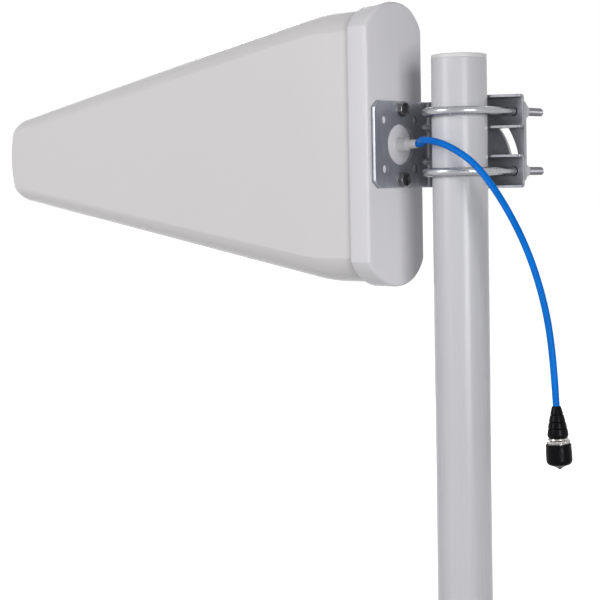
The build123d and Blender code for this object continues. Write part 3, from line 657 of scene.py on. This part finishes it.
# ---------------------------------------------------------------- folded sheet metal
def fold(u, start, heading, runs):
    """Middle line of a folded sheet, for distances u along it.

    runs are (length, turn) pairs: straight where turn is 0, and otherwise an arc of radius
    length / turn, along which the heading grows evenly. Returns places and left normals.
    """
    place = np.zeros((len(u), 2))
    angle = np.zeros(len(u))
    begin = np.array(start, float)
    reached = 0.0
    for length, turn in runs:
        here = u >= reached - 1e-12 if reached else np.full(len(u), True)
        d = np.append(u[here] - reached, length)
        if turn:
            bend = turn / length
            now = heading + bend * d
            across = np.sin(now) - math.sin(heading)
            rise = math.cos(heading) - np.cos(now)
            step = np.stack([across, rise], -1) / bend
        else:
            now = heading + 0 * d
            step = d[:, None] * np.array([math.cos(heading), math.sin(heading)])
        place[here] = (begin + step)[:-1]
        angle[here] = now[:-1]
        begin = begin + step[-1]
        heading = heading + turn
        reached += length
    return place, np.stack([-np.sin(angle), np.cos(angle)], -1)


def spaced(loop, gap):
    """Closed loop with points added so that no edge is longer than gap."""
    onward = np.roll(loop, -1, axis=0)
    counts = np.maximum(np.ceil(np.linalg.norm(onward - loop, axis=1) / gap).astype(int), 1)
    first = np.repeat(loop, counts, axis=0)
    last = np.repeat(onward, counts, axis=0)
    starts = np.repeat(np.cumsum(counts) - counts, counts)
    share = (np.arange(counts.sum()) - starts) / np.repeat(counts, counts)
    return first + share[:, None] * (last - first)


def drawn_in(loop, distance):
    """Closed loop moved to its left by a distance, with mitred corners."""
    onward = np.roll(loop, -1, axis=0) - loop
    left = np.stack([-onward[:, 1], onward[:, 0]], -1) / np.linalg.norm(onward, axis=1)[:, None]
    before = np.roll(left, 1, axis=0)
    together = left + before
    return loop + distance * together * (2 / (together**2).sum(1))[:, None]


def inside(points, loop):
    """Whether each point lies in a closed loop, by counting the edges that it sees to its right."""
    onward = np.roll(loop, -1, axis=0)
    py, px = points[:, 1:2], points[:, 0:1]
    crosses = (loop[:, 1] > py) != (onward[:, 1] > py)
    rise = np.where(onward[:, 1] == loop[:, 1], 1e-12, onward[:, 1] - loop[:, 1])
    at = loop[:, 0] + (py - loop[:, 1]) * (onward[:, 0] - loop[:, 0]) / rise
    return (crosses & (px < at)).sum(1) % 2 == 1


def flat_region(outer, holes, extra):
    """Triangles that fill a loop round its holes and keep the extra points.

    A triangle on a loop's edge is kept if it is on the left, where the sheet is.
    """
    loops = [outer, *holes]
    points = np.concatenate([*loops, extra])
    edges, start = [], 0
    for loop in loops:
        numbers = np.arange(len(loop)) + start
        edges += np.stack([numbers, np.roll(numbers, -1)], -1).tolist()
        start += len(loop)
    found = delaunay_2d_cdt([Vector(p) for p in points], edges, [], 0, 1e-9, False)
    places = np.array([tuple(p) for p in found[0]])
    triangles = np.array(found[2])
    middles = places[triangles].mean(1)
    keep = inside(middles, outer)
    for hole in holes:
        keep &= ~inside(middles, hole)
    sides = triangles[:, [0, 1, 1, 2, 2, 0]].reshape(-1, 3, 2)
    sides = sides[..., 0] * len(places) + sides[..., 1]
    edges = np.array(edges)
    on_left = np.isin(sides, edges[:, 0] * len(places) + edges[:, 1]).any(1)
    on_right = np.isin(sides, edges[:, 1] * len(places) + edges[:, 0]).any(1)
    return places, triangles[(keep | on_left) & ~on_right]


def sheet_patches(outer, holes, extra, thickness, bevel, to_space, painted_highlight_mask):
    """Both faces and all walls of a sheet with holes, as patches for make_piece.

    to_space(u, v, w) places a point of the flat pattern that is w off the middle. Walls run
    from the drawn-in loop on one face, over a bevel, to the drawn-in loop on the other.
    The last argument says for each point of the outer loop whether its wall takes the brighter cut-edge
    finish, a painted highlight.
    """
    half = thickness / 2
    small_outer = drawn_in(outer, bevel)
    small_holes = [drawn_in(hole, bevel) for hole in holes]
    places, triangles = flat_region(small_outer, small_holes, extra)
    patches = [(to_space(places[:, 0], places[:, 1], w), triangles, 0) for w in (half, -half)]
    for loop, small in zip([outer, *holes], [small_outer, *small_holes]):
        rows = [(small, half), (loop, half - bevel), (loop, bevel - half), (small, -half)]
        wall = np.concatenate([to_space(p[:, 0], p[:, 1], w) for p, w in rows])
        faces = grid_faces(4, len(loop))
        # walls marked in the last argument take the brighter cut-edge finish: painted highlight
        painted_highlight_walls = np.tile(painted_highlight_mask, 3) if loop is outer else np.full(len(faces), False)
        patches.append((wall, faces[painted_highlight_walls], 1))
        patches.append((wall, faces[~painted_highlight_walls], 0))
    return patches


def round_hole(u, v, radius, points=48):
    """Hole outline, wound so that its left is the sheet."""
    t = -np.linspace(0, TURN, points, endpoint=False)
    return np.stack([u + radius * np.cos(t), v + radius * np.sin(t)], -1)


def arc_slot(pivot, reach, first, last, half_width):
    """Slot about a pivot from one angle to another in degrees, with round ends."""
    first, last = math.radians(first), math.radians(last)
    sweep = np.linspace(first, last, 28)
    cap = np.linspace(0, math.pi, 13)[1:-1]
    ring = [(reach + half_width) * np.stack([np.cos(sweep), np.sin(sweep)], -1)]
    for angle, side in ((last, 1), (first, -1)):
        centre = reach * np.array([math.cos(angle), math.sin(angle)])
        turn = angle + (cap if side > 0 else cap + math.pi)
        ring.append(centre + half_width * np.stack([np.cos(turn), np.sin(turn)], -1))
        if side > 0:
            back = sweep[::-1]
            ring.append((reach - half_width) * np.stack([np.cos(back), np.sin(back)], -1))
    return (np.concatenate(ring) + np.asarray(pivot))[::-1]


def build_bracket():
    """Angle bracket from one blank: cap leg, bend with two pressed darts, slotted side leg.

    u runs from the cap leg's near edge round the bend to the side leg's aft edge, v is the
    height. Near a dart the bent line is blended towards the chord that cuts its corner, by
    exp(-(dv / w)^2).
    """
    mid = bracket_sheet / 2
    bend = 2 * MM + mid
    leg_inner_y = bracket_far_y - bracket_sheet
    cap_leg = leg_inner_y - 2 * MM - bracket_near_y
    arc = bend * TURN / 4
    side_start = bracket_rear_x + 2 * MM
    side_leg = bracket_aft_x - side_start
    runs = [(cap_leg, 0), (arc, -TURN / 4), (side_leg, 0)]
    start = (rear_face_x + mid, bracket_near_y)
    total = cap_leg + arc + side_leg
    half = bracket_height / 2
    chamfer = 5 * MM
    reach = 5.5 * MM
    chord_ends = np.array([cap_leg - reach, cap_leg + arc + reach])
    (chord_a, chord_b), _ = fold(chord_ends, start, TURN / 4, runs)
    chord_normal = np.array([-1.0, 1.0]) / math.sqrt(2)
    dart_v = 12.5 * MM
    dart_half = 1.9 * MM

    def to_space(u, v, w):
        place, normal = fold(u, start, TURN / 4, runs)
        share = np.clip((u - chord_ends[0]) / (chord_ends[1] - chord_ends[0]), 0, 1)[:, None]
        chord = chord_a + share * (chord_b - chord_a)
        pressed = np.exp(-(((np.abs(v) - dart_v) / dart_half) ** 2))
        pressed *= np.sin(math.pi * share[:, 0]) ** 0.5
        pressed = pressed[:, None]
        place = (1 - pressed) * place + pressed * chord
        normal = (1 - pressed) * normal + pressed * chord_normal
        normal /= np.linalg.norm(normal, axis=1)[:, None]
        at = place + w * normal
        return np.stack([at[:, 0], at[:, 1], boresight_z + v], -1)

    outline = np.array(
        [
            (chamfer, -half),
            (total - chamfer, -half),
            (total, chamfer - half),
            (total, half - chamfer),
            (total - chamfer, half),
            (chamfer, half),
            (0, half - chamfer),
            (0, chamfer - half),
        ]
    )
    centre_u = -bracket_near_y
    pitch = 18 * MM
    bolt_hole = 3.2 * MM
    holes = [round_hole(centre_u, 0, 15 * MM, 96)]
    for a in (-pitch, pitch):
        holes += [round_hole(centre_u + a, b, bolt_hole) for b in (-pitch, pitch)]
    holes += [round_hole(centre_u, b, bolt_hole) for b in (-bolt_offset, bolt_offset)]

    to_u = cap_leg + arc - side_start
    pivot = (-half_leg + to_u, -half_clamp)
    upper_angle = math.degrees(math.atan2(2 * half_clamp, 2 * half_leg))
    slot_half = rod_radius + 0.35 * MM
    holes.append(round_hole(*pivot, rod_radius + 0.08 * MM))
    holes.append(arc_slot(pivot, 2 * half_leg, -4, 45, slot_half))
    diagonal = math.hypot(2 * half_leg, 2 * half_clamp)
    holes.append(arc_slot(pivot, diagonal, upper_angle - 4, upper_angle + 5, slot_half))
    holes.append(arc_slot(pivot, 2 * half_clamp, 86, 95, slot_half))

    bend_u = np.arange(chord_ends[0], chord_ends[1], 0.6 * MM)
    bend_v = np.arange(0.8 * MM - half, half - 0.4 * MM, 0.8 * MM)
    extra = np.stack(np.meshgrid(bend_u, bend_v), -1).reshape(-1, 2)
    for hole in holes:
        away = np.abs(extra[:, None] - hole[None]).max(-1).min(1) > 0.5 * MM
        extra = extra[away & ~inside(extra, hole)]
    loop = spaced(outline, 1.2 * MM)
    # The cap leg's near edge, facing the camera and lamps, takes the brighter cut-edge finish: painted
    # highlight.
    painted_highlight_near_edge = loop[:, 0] < chamfer + 1 * MM
    patches = sheet_patches(loop, holes, extra, bracket_sheet, 0.25 * MM, to_space, painted_highlight_near_edge)
    finishes = [bracket_face, cut_edge_painted_highlight]
    nodes = ["tilt_bracket"]
    steady_normals(
        make_piece("bracket_skin", patches, finishes, "antenna", nodes, sharp=50)
    )


def build_saddle(name, z):
    """Channel saddle: two lips cut to the mast's radius, and a web with two rod holes.

    u runs from one lip's tip over the web to the other's, v runs along the mast's side. A
    lip's edge is the mast's circle sqrt(R^2 - v^2) between its tips, then slopes away.
    """
    mid = saddle_sheet / 2
    bend = 0.5 * MM + mid
    tip_y = mast_radius - 4 * MM
    end_y = saddle_back_y - saddle_sheet - 3.8 * MM
    seat = mast_radius + 0.3 * MM
    seat_half = math.sqrt(seat**2 - tip_y**2)
    lip = saddle_back_y - mid - bend - tip_y
    web = saddle_height - 2 * mid - 2 * bend
    arc = bend * TURN / 4
    runs = [(lip, 0), (arc, TURN / 4), (web, 0), (arc, TURN / 4), (lip, 0)]
    total = 2 * lip + 2 * arc + web
    start = (tip_y, saddle_height / 2 - mid)

    def to_space(u, v, w):
        place, normal = fold(u, start, 0.0, [(a, -b) for a, b in runs])
        at = place + w * normal
        return np.stack([v, at[:, 0], z + at[:, 1]], -1)

    v = np.concatenate(
        [
            [-saddle_half_length, -seat_half - 3 * MM],
            np.linspace(-seat_half, seat_half, 33),
            [seat_half + 3 * MM, saddle_half_length],
        ]
    )
    circle_y = np.sqrt(np.clip(seat**2 - v**2, 0, None))
    edge_y = np.where(np.abs(v) < seat_half + 1e-9, circle_y, tip_y)
    edge_y[[0, -1]] = end_y
    u = edge_y - tip_y
    outline = np.concatenate([np.stack([u, v], -1)[::-1], np.stack([total - u, v], -1)])
    holes = [round_hole(total / 2, x, rod_radius + 0.3 * MM) for x in (-half_leg, half_leg)]
    bend_steps = arc * np.linspace(0, 1, 6)
    extra_u = np.concatenate([lip + bend_steps, lip + arc + web + bend_steps])
    extra_v = np.arange(1.5 * MM - saddle_half_length, saddle_half_length - 1 * MM, 1.5 * MM)
    extra = np.stack(np.meshgrid(extra_u, extra_v), -1).reshape(-1, 2)
    loop = spaced(outline, 0.8 * MM)
    # The lips' long edges, facing the mast and camera, take the brighter cut-edge finish: painted
    # highlight; the saddle's ends keep the face finish.
    lips = np.abs(loop[:, 1]) < saddle_half_length - 1.5 * MM
    patches = sheet_patches(loop, holes, extra, saddle_sheet, 0.25 * MM, to_space, lips)
    finishes = [saddle_face, cut_edge_painted_highlight]
    steady_normals(
        make_piece(name + "_skin", patches, finishes, "clamp", [name], sharp=50)
    )


# ---------------------------------------------------------------- rods and fasteners
def build_u_bolt(name, z):
    """U-bolt: a round rod along a leg, half a circle and a leg, with both ends threaded.

    The rod's centre follows the U, its normal points away from the U's inside, and the
    section point is centre + r * (cos t * normal + sin t * Z). On the legs r drops by the
    thread's depth times a triangle wave of y / pitch - t / turn.
    """
    pitch, depth = 1.0 * MM, 0.42 * MM
    thread_y = saddle_back_y + 1 * MM
    turns = 28
    end_chamfer = 0.7 * MM
    plain = np.linspace(bow_centre_y, thread_y, 6)[:-1]
    threaded = np.arange(thread_y, rod_end_y - end_chamfer, pitch / 8)
    y = np.concatenate([plain, threaded, [rod_end_y - end_chamfer]])
    leg_radius = np.full(len(y), rod_radius)
    y = np.concatenate([y, [rod_end_y, rod_end_y]])
    leg_radius = np.concatenate([leg_radius, [rod_radius - end_chamfer, 0]])
    a = np.linspace(math.pi, TURN, 73)[1:-1]
    bow = np.stack([half_leg * np.cos(a), bow_centre_y + half_leg * np.sin(a)], -1)
    first = np.stack([0 * y - half_leg, y], -1)[::-1]
    centre = np.concatenate([first, bow, np.stack([0 * y + half_leg, y], -1)])
    normal = np.concatenate(
        [
            np.tile([-1.0, 0.0], (len(y), 1)),
            np.stack([np.cos(a), np.sin(a)], -1),
            np.tile([1.0, 0.0], (len(y), 1)),
        ]
    )
    radius = np.concatenate([leg_radius[::-1], np.full(len(a), rod_radius), leg_radius])[:, None]
    t = np.linspace(0, TURN, turns, endpoint=False)[None, :]
    along = np.concatenate([y[::-1], np.full(len(a), bow_centre_y), y])[:, None]
    hand = np.sign(centre[:, :1] + 1e-9)
    wave = np.abs(2 * ((along / pitch - hand * t / TURN) % 1.0) - 1)
    fade = np.clip((along - thread_y) / (3 * pitch), 0, 1) * (radius > 0.9 * rod_radius)
    radius = radius - depth * wave * fade
    points = np.stack(
        [
            centre[:, :1] + radius * np.cos(t) * normal[:, :1],
            centre[:, 1:] + radius * np.cos(t) * normal[:, 1:],
            z + radius * np.sin(t),
        ],
        -1,
    )
    faces = grid_faces(len(centre), turns)
    cut = along[faces[:, 0] // turns, 0] > thread_y
    rod = points.reshape(-1, 3)
    # The threaded part takes the darker copy of the rod's zinc: painted shade.
    patches = [(rod, faces[~cut], 0), (rod, faces[cut], 1)]
    finishes = [rod_zinc, thread_zinc_painted_shade]
    make_piece(name + "_skin", patches, finishes, "clamp", [name], sharp=60)


def hexagon(profile, origin, axis, flat, turn):
    """Hexagon of the given distance across flats, limited by a turned profile.

    The radius at angle t is the least of the profile's r and the flat's distance over
    cos of the angle from the nearest flat's middle, where the profile asks for the outside.
    """

    def ripple(t, r, s):
        off = (t + turn) % (TURN / 6) - TURN / 12
        edge = flat / 2 / np.cos(off)
        return np.where(r > 0.4 * flat, np.minimum(r, edge) - r, 0.0)

    return lathe(profile, origin, axis, turns=120, ripple=ripple)


def chamfered_hexagon(flat, height, bore, both_ends):
    """Profile of a nut, or of a bolt head whose seat is square: (radius, distance) pairs."""
    face = 0.95 * flat / 2
    corner = 1.02 * flat / 2 / math.cos(TURN / 12)
    deep = (corner - face) * math.tan(TURN / 12)
    down = np.linspace(0, 1, 6)
    end = np.stack([face + (corner - face) * down, height - deep * down], -1)
    start = np.stack([face + (corner - face) * down[::-1], deep * down[::-1]], -1)
    start = start if both_ends else np.array([(corner, 0.0)])
    inner = [(bore, height), (bore, 0)] if bore else [(0, height), (0, 0)]
    return np.concatenate([inner[:1], end, start, inner[1:], inner[:1]])


def build_fasteners():
    """Nuts, washers and spring washers on the four rod ends, and the two cap bolts.

    A bolt's head has a shallow cup in its top, and its washer is a smaller, thinner copy.
    """
    rng = np.random.default_rng(7)
    nut_flat, washer_bore, washer_radius = 10 * MM, rod_radius + 0.2 * MM, 6 * MM
    nut_profile = chamfered_hexagon(nut_flat, nut_end_y - nut_y, rod_radius + 0.02 * MM, True)
    washer_thickness = spring_washer_y - washer_y
    flat_profile = softened(
        [
            (washer_bore, washer_thickness / 2),
            (washer_bore, 0),
            (washer_radius, 0),
            (washer_radius, washer_thickness),
            (washer_bore, washer_thickness),
            (washer_bore, washer_thickness / 2),
        ],
        0.25 * MM,
    )
    nuts, washers, springs = [], [], []
    for x, z in leg_places:
        turn = rng.uniform(0, TURN / 6)
        nuts.append((*hexagon(nut_profile, (x, nut_y, z), (0, 1, 0), nut_flat, turn), 0))
        washers.append((*lathe(flat_profile, (x, washer_y, z), (0, 1, 0), turns=64), 0))
        springs += split_ring(x, z, washer_thickness, rng.uniform(0, TURN))
    finishes = [fastener_zinc]
    make_piece("nut_skins", nuts, finishes, "clamp", ["hex_nuts"])
    make_piece("washer_skins", washers, finishes, "clamp", ["flat_washers"])
    nodes = ["spring_washers"]
    make_piece("spring_washer_skins", springs, finishes, "clamp", nodes)

    head_profile = chamfered_hexagon(nut_flat, head_end_x - head_x, 0, False)
    cup_floor = head_profile[0, 1] - 0.5 * MM
    cup = np.array([(0, cup_floor), (2.6 * MM, cup_floor)])
    head_profile = np.concatenate([cup, head_profile[1:-1], [(0, 0)], cup[:1]])[:-1]
    washer_profile = flat_profile * np.array([5.5 / 6, 0.75])
    heads, collars = [], []
    for offset, turn in ((bolt_offset, 0.16), (-bolt_offset, 0.42)):
        z = boresight_z + offset
        heads.append((*hexagon(head_profile, (head_x, 0, z), (1, 0, 0), nut_flat, turn), 0))
        shank = [(0, 0.2 * MM), (rod_radius, 0.2 * MM), (rod_radius, -9 * MM), (0, -9 * MM)]
        heads.append((*lathe(softened(shank, 0.3 * MM), (head_x, 0, z), (1, 0, 0), turns=32), 0))
        seat = (lowest("bracket_washers").x, 0, z)
        collars.append((*lathe(washer_profile, seat, (1, 0, 0), turns=64), 0))
    make_piece("bolt_skins", heads, [bolt_zinc], "antenna", ["bracket_bolts"])
    make_piece("collar_skins", collars, finishes, "antenna", ["bracket_washers"])


def split_ring(x, z, thickness, turn):
    """Spring washer: a rectangular section carried round a shallow helix with a gap.

    At angle t the section's middle lies at thickness * (t / turn - 1/2) / 6 along the rod.
    """
    inner, outer = rod_radius + 0.2 * MM, 5 * MM
    gap = 0.10
    t = np.linspace(gap, TURN - gap, 61)[:, None]
    edge = 0.25 * MM
    corners = [
        (inner, 0),
        (inner, -1),
        (outer, -1),
        (outer, 1),
        (inner, 1),
        (inner, 0),
    ]
    half = thickness / 2 - thickness / 12
    section = softened(np.array(corners) * np.array([1, half]), edge, 2)[:-1]
    r, s = section[:, 0][None, :], section[:, 1][None, :]
    along = spring_washer_y + thickness / 2 + s + thickness * (t / TURN - 0.5) / 6
    points = np.stack([x + r * np.cos(t + turn), along + 0 * t, z + r * np.sin(t + turn)], -1)
    rows, columns = points.shape[:2]
    whole = np.concatenate([points.reshape(-1, 3), points[[0, -1]].mean(1)])
    ring = np.arange(columns)
    ends = []
    for base, hub in ((0, rows * columns), ((rows - 1) * columns, rows * columns + 1)):
        ends.append(np.stack([base + ring, base + np.roll(ring, -1), hub + 0 * ring], -1))
    return [(whole, grid_faces(rows, columns), 0), (whole, np.concatenate(ends), 0)]


# ---------------------------------------------------------------- cable and connector
def build_cable():
    """Hanging coaxial lead: one smooth curve with the route's points as its control points."""
    curve = bpy.data.curves.new("coax_lead", "CURVE")
    curve.dimensions = "3D"
    spline = curve.splines.new("NURBS")
    spline.points.add(len(cable_route) - 1)
    flat = np.concatenate([np.array(cable_route), np.ones((len(cable_route), 1))], axis=1)
    spline.points.foreach_set("co", flat.ravel())
    spline.order_u = 3
    spline.use_endpoint_u = True
    curve.resolution_u = 24
    curve.render_resolution_u = 24
    curve.bevel_depth = cable_radius
    curve.bevel_resolution = 8
    curve.use_fill_caps = True
    curve.materials.append(jacket_blue)
    lead = bpy.data.objects.new("coax_lead", curve)
    bpy.context.scene.collection.objects.link(lead)
    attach(lead, "antenna")
    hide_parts("coax_pigtail")
    return lead


def build_boot():
    """Ribbed rubber boot: a swelling cone with a shallow groove between its four ribs."""
    length, collar, groove = 21.5 * MM, 0.8 * MM, 0.5 * MM
    small, large = cable_radius + 0.8 * MM, 7.3 * MM
    s = np.linspace(collar, length - 1.9 * MM, 220)
    share = (s - collar) / (length - collar)
    crest = small + (large - small) * (1 - (1 - share) ** 1.45)
    for joint in (0.235, 0.475, 0.69):
        crest = crest - groove * np.exp(-(((share - joint) / 0.012) ** 2))
    body = np.stack([crest, s], -1)
    head = [(cable_radius, 3 * MM), (cable_radius, 0.2 * MM)]
    head += [(small - 0.5 * MM, 0), (small - 0.1 * MM, 0.3 * MM)]
    tail = [(large - 0.2 * MM, length - 1.5 * MM), (large - 0.9 * MM, length), (4.2 * MM, length)]
    shut = [(4.2 * MM, length - 1 * MM), (0, length - 1 * MM), (0, 3 * MM), (cable_radius, 3 * MM)]
    profile = np.concatenate([head, body, tail, shut])
    patch = (*lathe(profile, connector_top, connector_axis, turns=96), 0)
    nodes = ["connector_boot"]
    return make_piece("boot_skin", [patch], [boot_rubber], "antenna", nodes)


def build_connector():
    """Socket body: smooth collar, diamond-knurled ring, threaded barrel and open bore.

    The ring's radius drops by 0.35 mm times the square of the greater of two triangle waves
    that run round it in opposite screws.
    """
    start, ring_end, barrel_end = 21.5 * MM, 26.9 * MM, 36.3 * MM
    knurl_start, knurl_end = 23.3 * MM, 25.0 * MM
    barrel, bore, root = 7.9 * MM, 6.2 * MM, 7.3 * MM
    knurls, knurl_pitch = 34, 1.35 * MM
    thread = screw_thread(1.06 * MM, 0.5 * MM, ring_end - 0.5 * MM, barrel_end)
    fade = 0.25 * MM

    def ripple(t, r, s):
        across = np.abs(((t / TURN * knurls + s / knurl_pitch) % 1.0) * 2 - 1)
        along = np.abs(((t / TURN * knurls - s / knurl_pitch) % 1.0) * 2 - 1)
        diamond = -0.35 * MM * np.maximum(across, along) ** 2
        knurled = np.clip(np.minimum(s - knurl_start, knurl_end - s) / fade, 0, 1)
        outside = r > 6.6 * MM
        return np.where(outside, diamond * knurled + thread(t, r, s), 0.0)

    knurl = np.linspace(knurl_start, knurl_end, 18)
    barrel_s = np.arange(ring_end, barrel_end - 0.6 * MM, 0.13 * MM)
    profile = np.concatenate(
        [
            [(0, 10 * MM), (3.5 * MM, 10 * MM), (3.5 * MM, start)],
            [(6.3 * MM, start), (6.9 * MM, start + 0.5 * MM)],
            [(7.1 * MM, knurl_start - 0.5 * MM), (7.7 * MM, knurl_start - 0.1 * MM)],
            np.stack([0 * knurl + 8.0 * MM, knurl], -1),
            [(7.6 * MM, knurl_end + 0.15 * MM), (root, knurl_end + 0.3 * MM)],
            [(root, ring_end - 0.6 * MM)],
            np.stack([0 * barrel_s + barrel, barrel_s], -1),
            [(root, barrel_end), (bore, barrel_end), (bore, ring_end), (0, ring_end)],
        ]
    )
    patch = (*lathe(profile, connector_top, connector_axis, turns=204, ripple=ripple), 0)
    nodes = ["connector_body"]
    return make_piece("connector_skin", [patch], [nickel], "antenna", nodes)


def build_dust_cap():
    """Rubber cap over the thread: rim bead, straight wall, rounded shoulder, cone and nib.

    On the straight wall the radius drops by flute * (1 + cos 14t) / 2.
    """
    outer, bore, bead = 8.9 * MM, 8.1 * MM, 8.75 * MM
    start, barrel_end, end = 25.7 * MM, 36.9 * MM, 40.4 * MM
    shoulder = 3.9 * MM
    turn = np.linspace(0, math.radians(58), 12)
    inward, onward = shoulder * (1 - np.cos(turn)), shoulder * np.sin(turn)
    rounded = np.stack([outer - inward, end - shoulder + onward], -1)
    corners = np.concatenate(
        [
            [(bore, start + 2 * MM), (bore, start), (bead, start), (bead, start + 1.4 * MM)],
            [(outer - 0.25 * MM, start + 1.9 * MM), (outer, start + 5 * MM)],
            [(outer, end - shoulder - 0.1 * MM)],
            rounded,
            [(4.3 * MM, end + 0.45 * MM), (2.0 * MM, end + 1.55 * MM), (0.8 * MM, end + 2.4 * MM)],
            [(0, end + 2.7 * MM)],
        ]
    )
    profile = softened(corners, 0.35 * MM, 3)
    inside_profile = [(0, barrel_end), (bore - 0.5 * MM, barrel_end), (bore, barrel_end - 0.5 * MM)]
    profile = np.concatenate([profile, inside_profile, profile[:1]])
    flute = 0.10 * MM

    def ripple(t, r, s):
        on_wall = np.clip((s - start - 2 * MM) / MM, 0, 1)
        on_wall = on_wall * np.clip((end - shoulder - s) / MM, 0, 1)
        return np.where(r > 8.5 * MM, -flute * on_wall * (0.5 + 0.5 * np.cos(14 * t)), 0.0)

    patch = (*lathe(profile, connector_top, connector_axis, turns=140, ripple=ripple), 0)
    nodes = ["dust_cap"]
    return make_piece("dust_cap_skin", [patch], [cap_rubber], "dust_cap", nodes)


build_mast()
build_radome()
build_rear_cap()
build_grommet()
build_bracket()
for clamp_name, clamp_z in (("lower", lower_z), ("upper", upper_z)):
    build_saddle(clamp_name + "_saddle", clamp_z)
    build_u_bolt(clamp_name + "_u_bolt", clamp_z)
build_fasteners()
lead = build_cable()
boot = build_boot()
socket = build_connector()
dust_cap = build_dust_cap()

# ---------------------------------------------------------------- finishes of the CAD nodes
inner_finishes = {
    "radome_seal": seal_rubber,
    "threaded_inserts": brass,
    "near_boom": aluminium,
    "far_boom": aluminium,
    "near_upper_elements": aluminium,
    "near_lower_elements": aluminium,
    "far_upper_elements": aluminium,
    "far_lower_elements": aluminium,
    "shorting_plate": aluminium,
    "boom_spacers": natural_nylon,
    "front_bulkhead": natural_nylon,
    "rear_bulkhead": natural_nylon,
    "feed_link": brass,
    "feed_coax": jacket_blue,
    "connector_insulator": insulator_white,
    "centre_contact": brass,
}
for node_name, finish in inner_finishes.items():
    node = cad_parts[node_name]
    node.data.materials.clear()
    node.data.materials.append(finish)


# ---------------------------------------------------------------- studio
def seen_directly(tree):
    """1 for camera, glossy and transmission rays, 0 for the rays that light things."""
    path = tree.nodes.new("ShaderNodeLightPath")
    total = path.outputs["Is Camera Ray"]
    for ray in ("Is Glossy Ray", "Is Transmission Ray"):
        either = tree.nodes.new("ShaderNodeMath")
        either.operation = "MAXIMUM"
        tree.links.new(total, either.inputs[0])
        tree.links.new(path.outputs[ray], either.inputs[1])
        total = either.outputs[0]
    return total


def build_world(strength):
    """White to look at, and an even pale light of the given strength on the object."""
    world = bpy.data.worlds.new("studio_world")
    bpy.context.scene.world = world
    world.use_nodes = True
    tree = world.node_tree
    background = tree.nodes["Background"]
    background.inputs["Color"].default_value = (1, 1, 1, 1)
    level = span(tree, seen_directly(tree), 0, 1, strength, 1.0)
    tree.links.new(level, background.inputs["Strength"])


def build_floor():
    """Plain pale floor that looks white where nothing shades it.

    Its glow is for camera, glossy and transmission rays only, and grows from the mast's foot
    outwards, as the lamps' own light on the floor falls off.
    """
    half = 30.0
    mesh = bpy.data.meshes.new("floor")
    corners = [(-half, -half, 0), (half, -half, 0), (half, half, 0), (-half, half, 0)]
    mesh.from_pydata(corners, [], [(0, 1, 2, 3)])
    material = bpy.data.materials.new("floor_paint")
    material.use_nodes = True
    tree = material.node_tree
    shader = tree.nodes["Principled BSDF"]
    shader.inputs["Base Color"].default_value = (0.50, 0.50, 0.50, 1)
    shader.inputs["Roughness"].default_value = 0.9
    place = tree.nodes.new("ShaderNodeTexCoord")
    reach = tree.nodes.new("ShaderNodeVectorMath")
    reach.operation = "LENGTH"
    tree.links.new(place.outputs["Object"], reach.inputs[0])
    near, far = 0.25, 1.6
    level = span(tree, reach.outputs["Value"], near, far, 0.66, 0.95)
    seen = tree.nodes.new("ShaderNodeMath")
    seen.operation = "MULTIPLY"
    tree.links.new(level, seen.inputs[0])
    tree.links.new(seen_directly(tree), seen.inputs[1])
    glow = tree.nodes.new("ShaderNodeEmission")
    tree.links.new(seen.outputs[0], glow.inputs["Strength"])
    add = tree.nodes.new("ShaderNodeAddShader")
    tree.links.new(shader.outputs["BSDF"], add.inputs[0])
    tree.links.new(glow.outputs["Emission"], add.inputs[1])
    tree.links.new(add.outputs["Shader"], tree.nodes["Material Output"].inputs["Surface"])
    mesh.materials.append(material)
    floor = bpy.data.objects.new("floor", mesh)
    bpy.context.scene.collection.objects.link(floor)


def add_softbox(name, place, aim, size, power):
    """Rectangular area light of a size in metres and a power in watts, turned to a point."""
    light = bpy.data.lights.new(name, "AREA")
    light.shape = "RECTANGLE"
    light.size, light.size_y = size
    light.energy = power
    lamp = bpy.data.objects.new(name, light)
    lamp.location = place
    lamp.rotation_mode = "QUATERNION"
    lamp.rotation_quaternion = (Vector(aim) - Vector(place)).to_track_quat("-Z", "Y")
    bpy.context.scene.collection.objects.link(lamp)


def add_camera():
    """Camera to the antenna's rear right, a little above its middle, with a slight roll."""
    azimuth, elevation, roll = (math.radians(a) for a in (42.04, 3.73, -1.08))
    target = Vector((-0.15745, 0.0, boresight_z - 0.11845))
    distance = 1.3
    back = Vector(
        (
            math.sin(azimuth) * math.cos(elevation),
            -math.cos(azimuth) * math.cos(elevation),
            math.sin(elevation),
        )
    )
    right = Vector((math.cos(azimuth), math.sin(azimuth), 0))
    up = back.cross(right)
    rolled_right = math.cos(roll) * right + math.sin(roll) * up
    rolled_up = math.cos(roll) * up - math.sin(roll) * right
    camera_data = bpy.data.cameras.new("camera")
    camera_data.lens = 99.12
    camera_data.sensor_width = 36
    camera = bpy.data.objects.new("camera", camera_data)
    turned = Matrix((rolled_right, rolled_up, back)).transposed().to_4x4()
    camera.matrix_world = Matrix.Translation(target + distance * back) @ turned
    bpy.context.scene.collection.objects.link(camera)
    bpy.context.scene.camera = camera


build_world(0.11)
build_floor()
cap_side = (-0.1, 0, boresight_z)
radome_side = (-0.15, 0, boresight_z)
add_softbox("right_softbox", (2.35, -1.36, 0.62), cap_side, (0.9, 1.1), 38)
add_softbox("left_softbox", (-1.05, -2.25, 1.35), radome_side, (0.9, 1.3), 31)
add_softbox("back_softbox", (-1.75, 2.1, 1.35), radome_side, (1.2, 1.2), 34)
add_camera()
bpy.context.scene.view_settings.view_transform = "Standard"
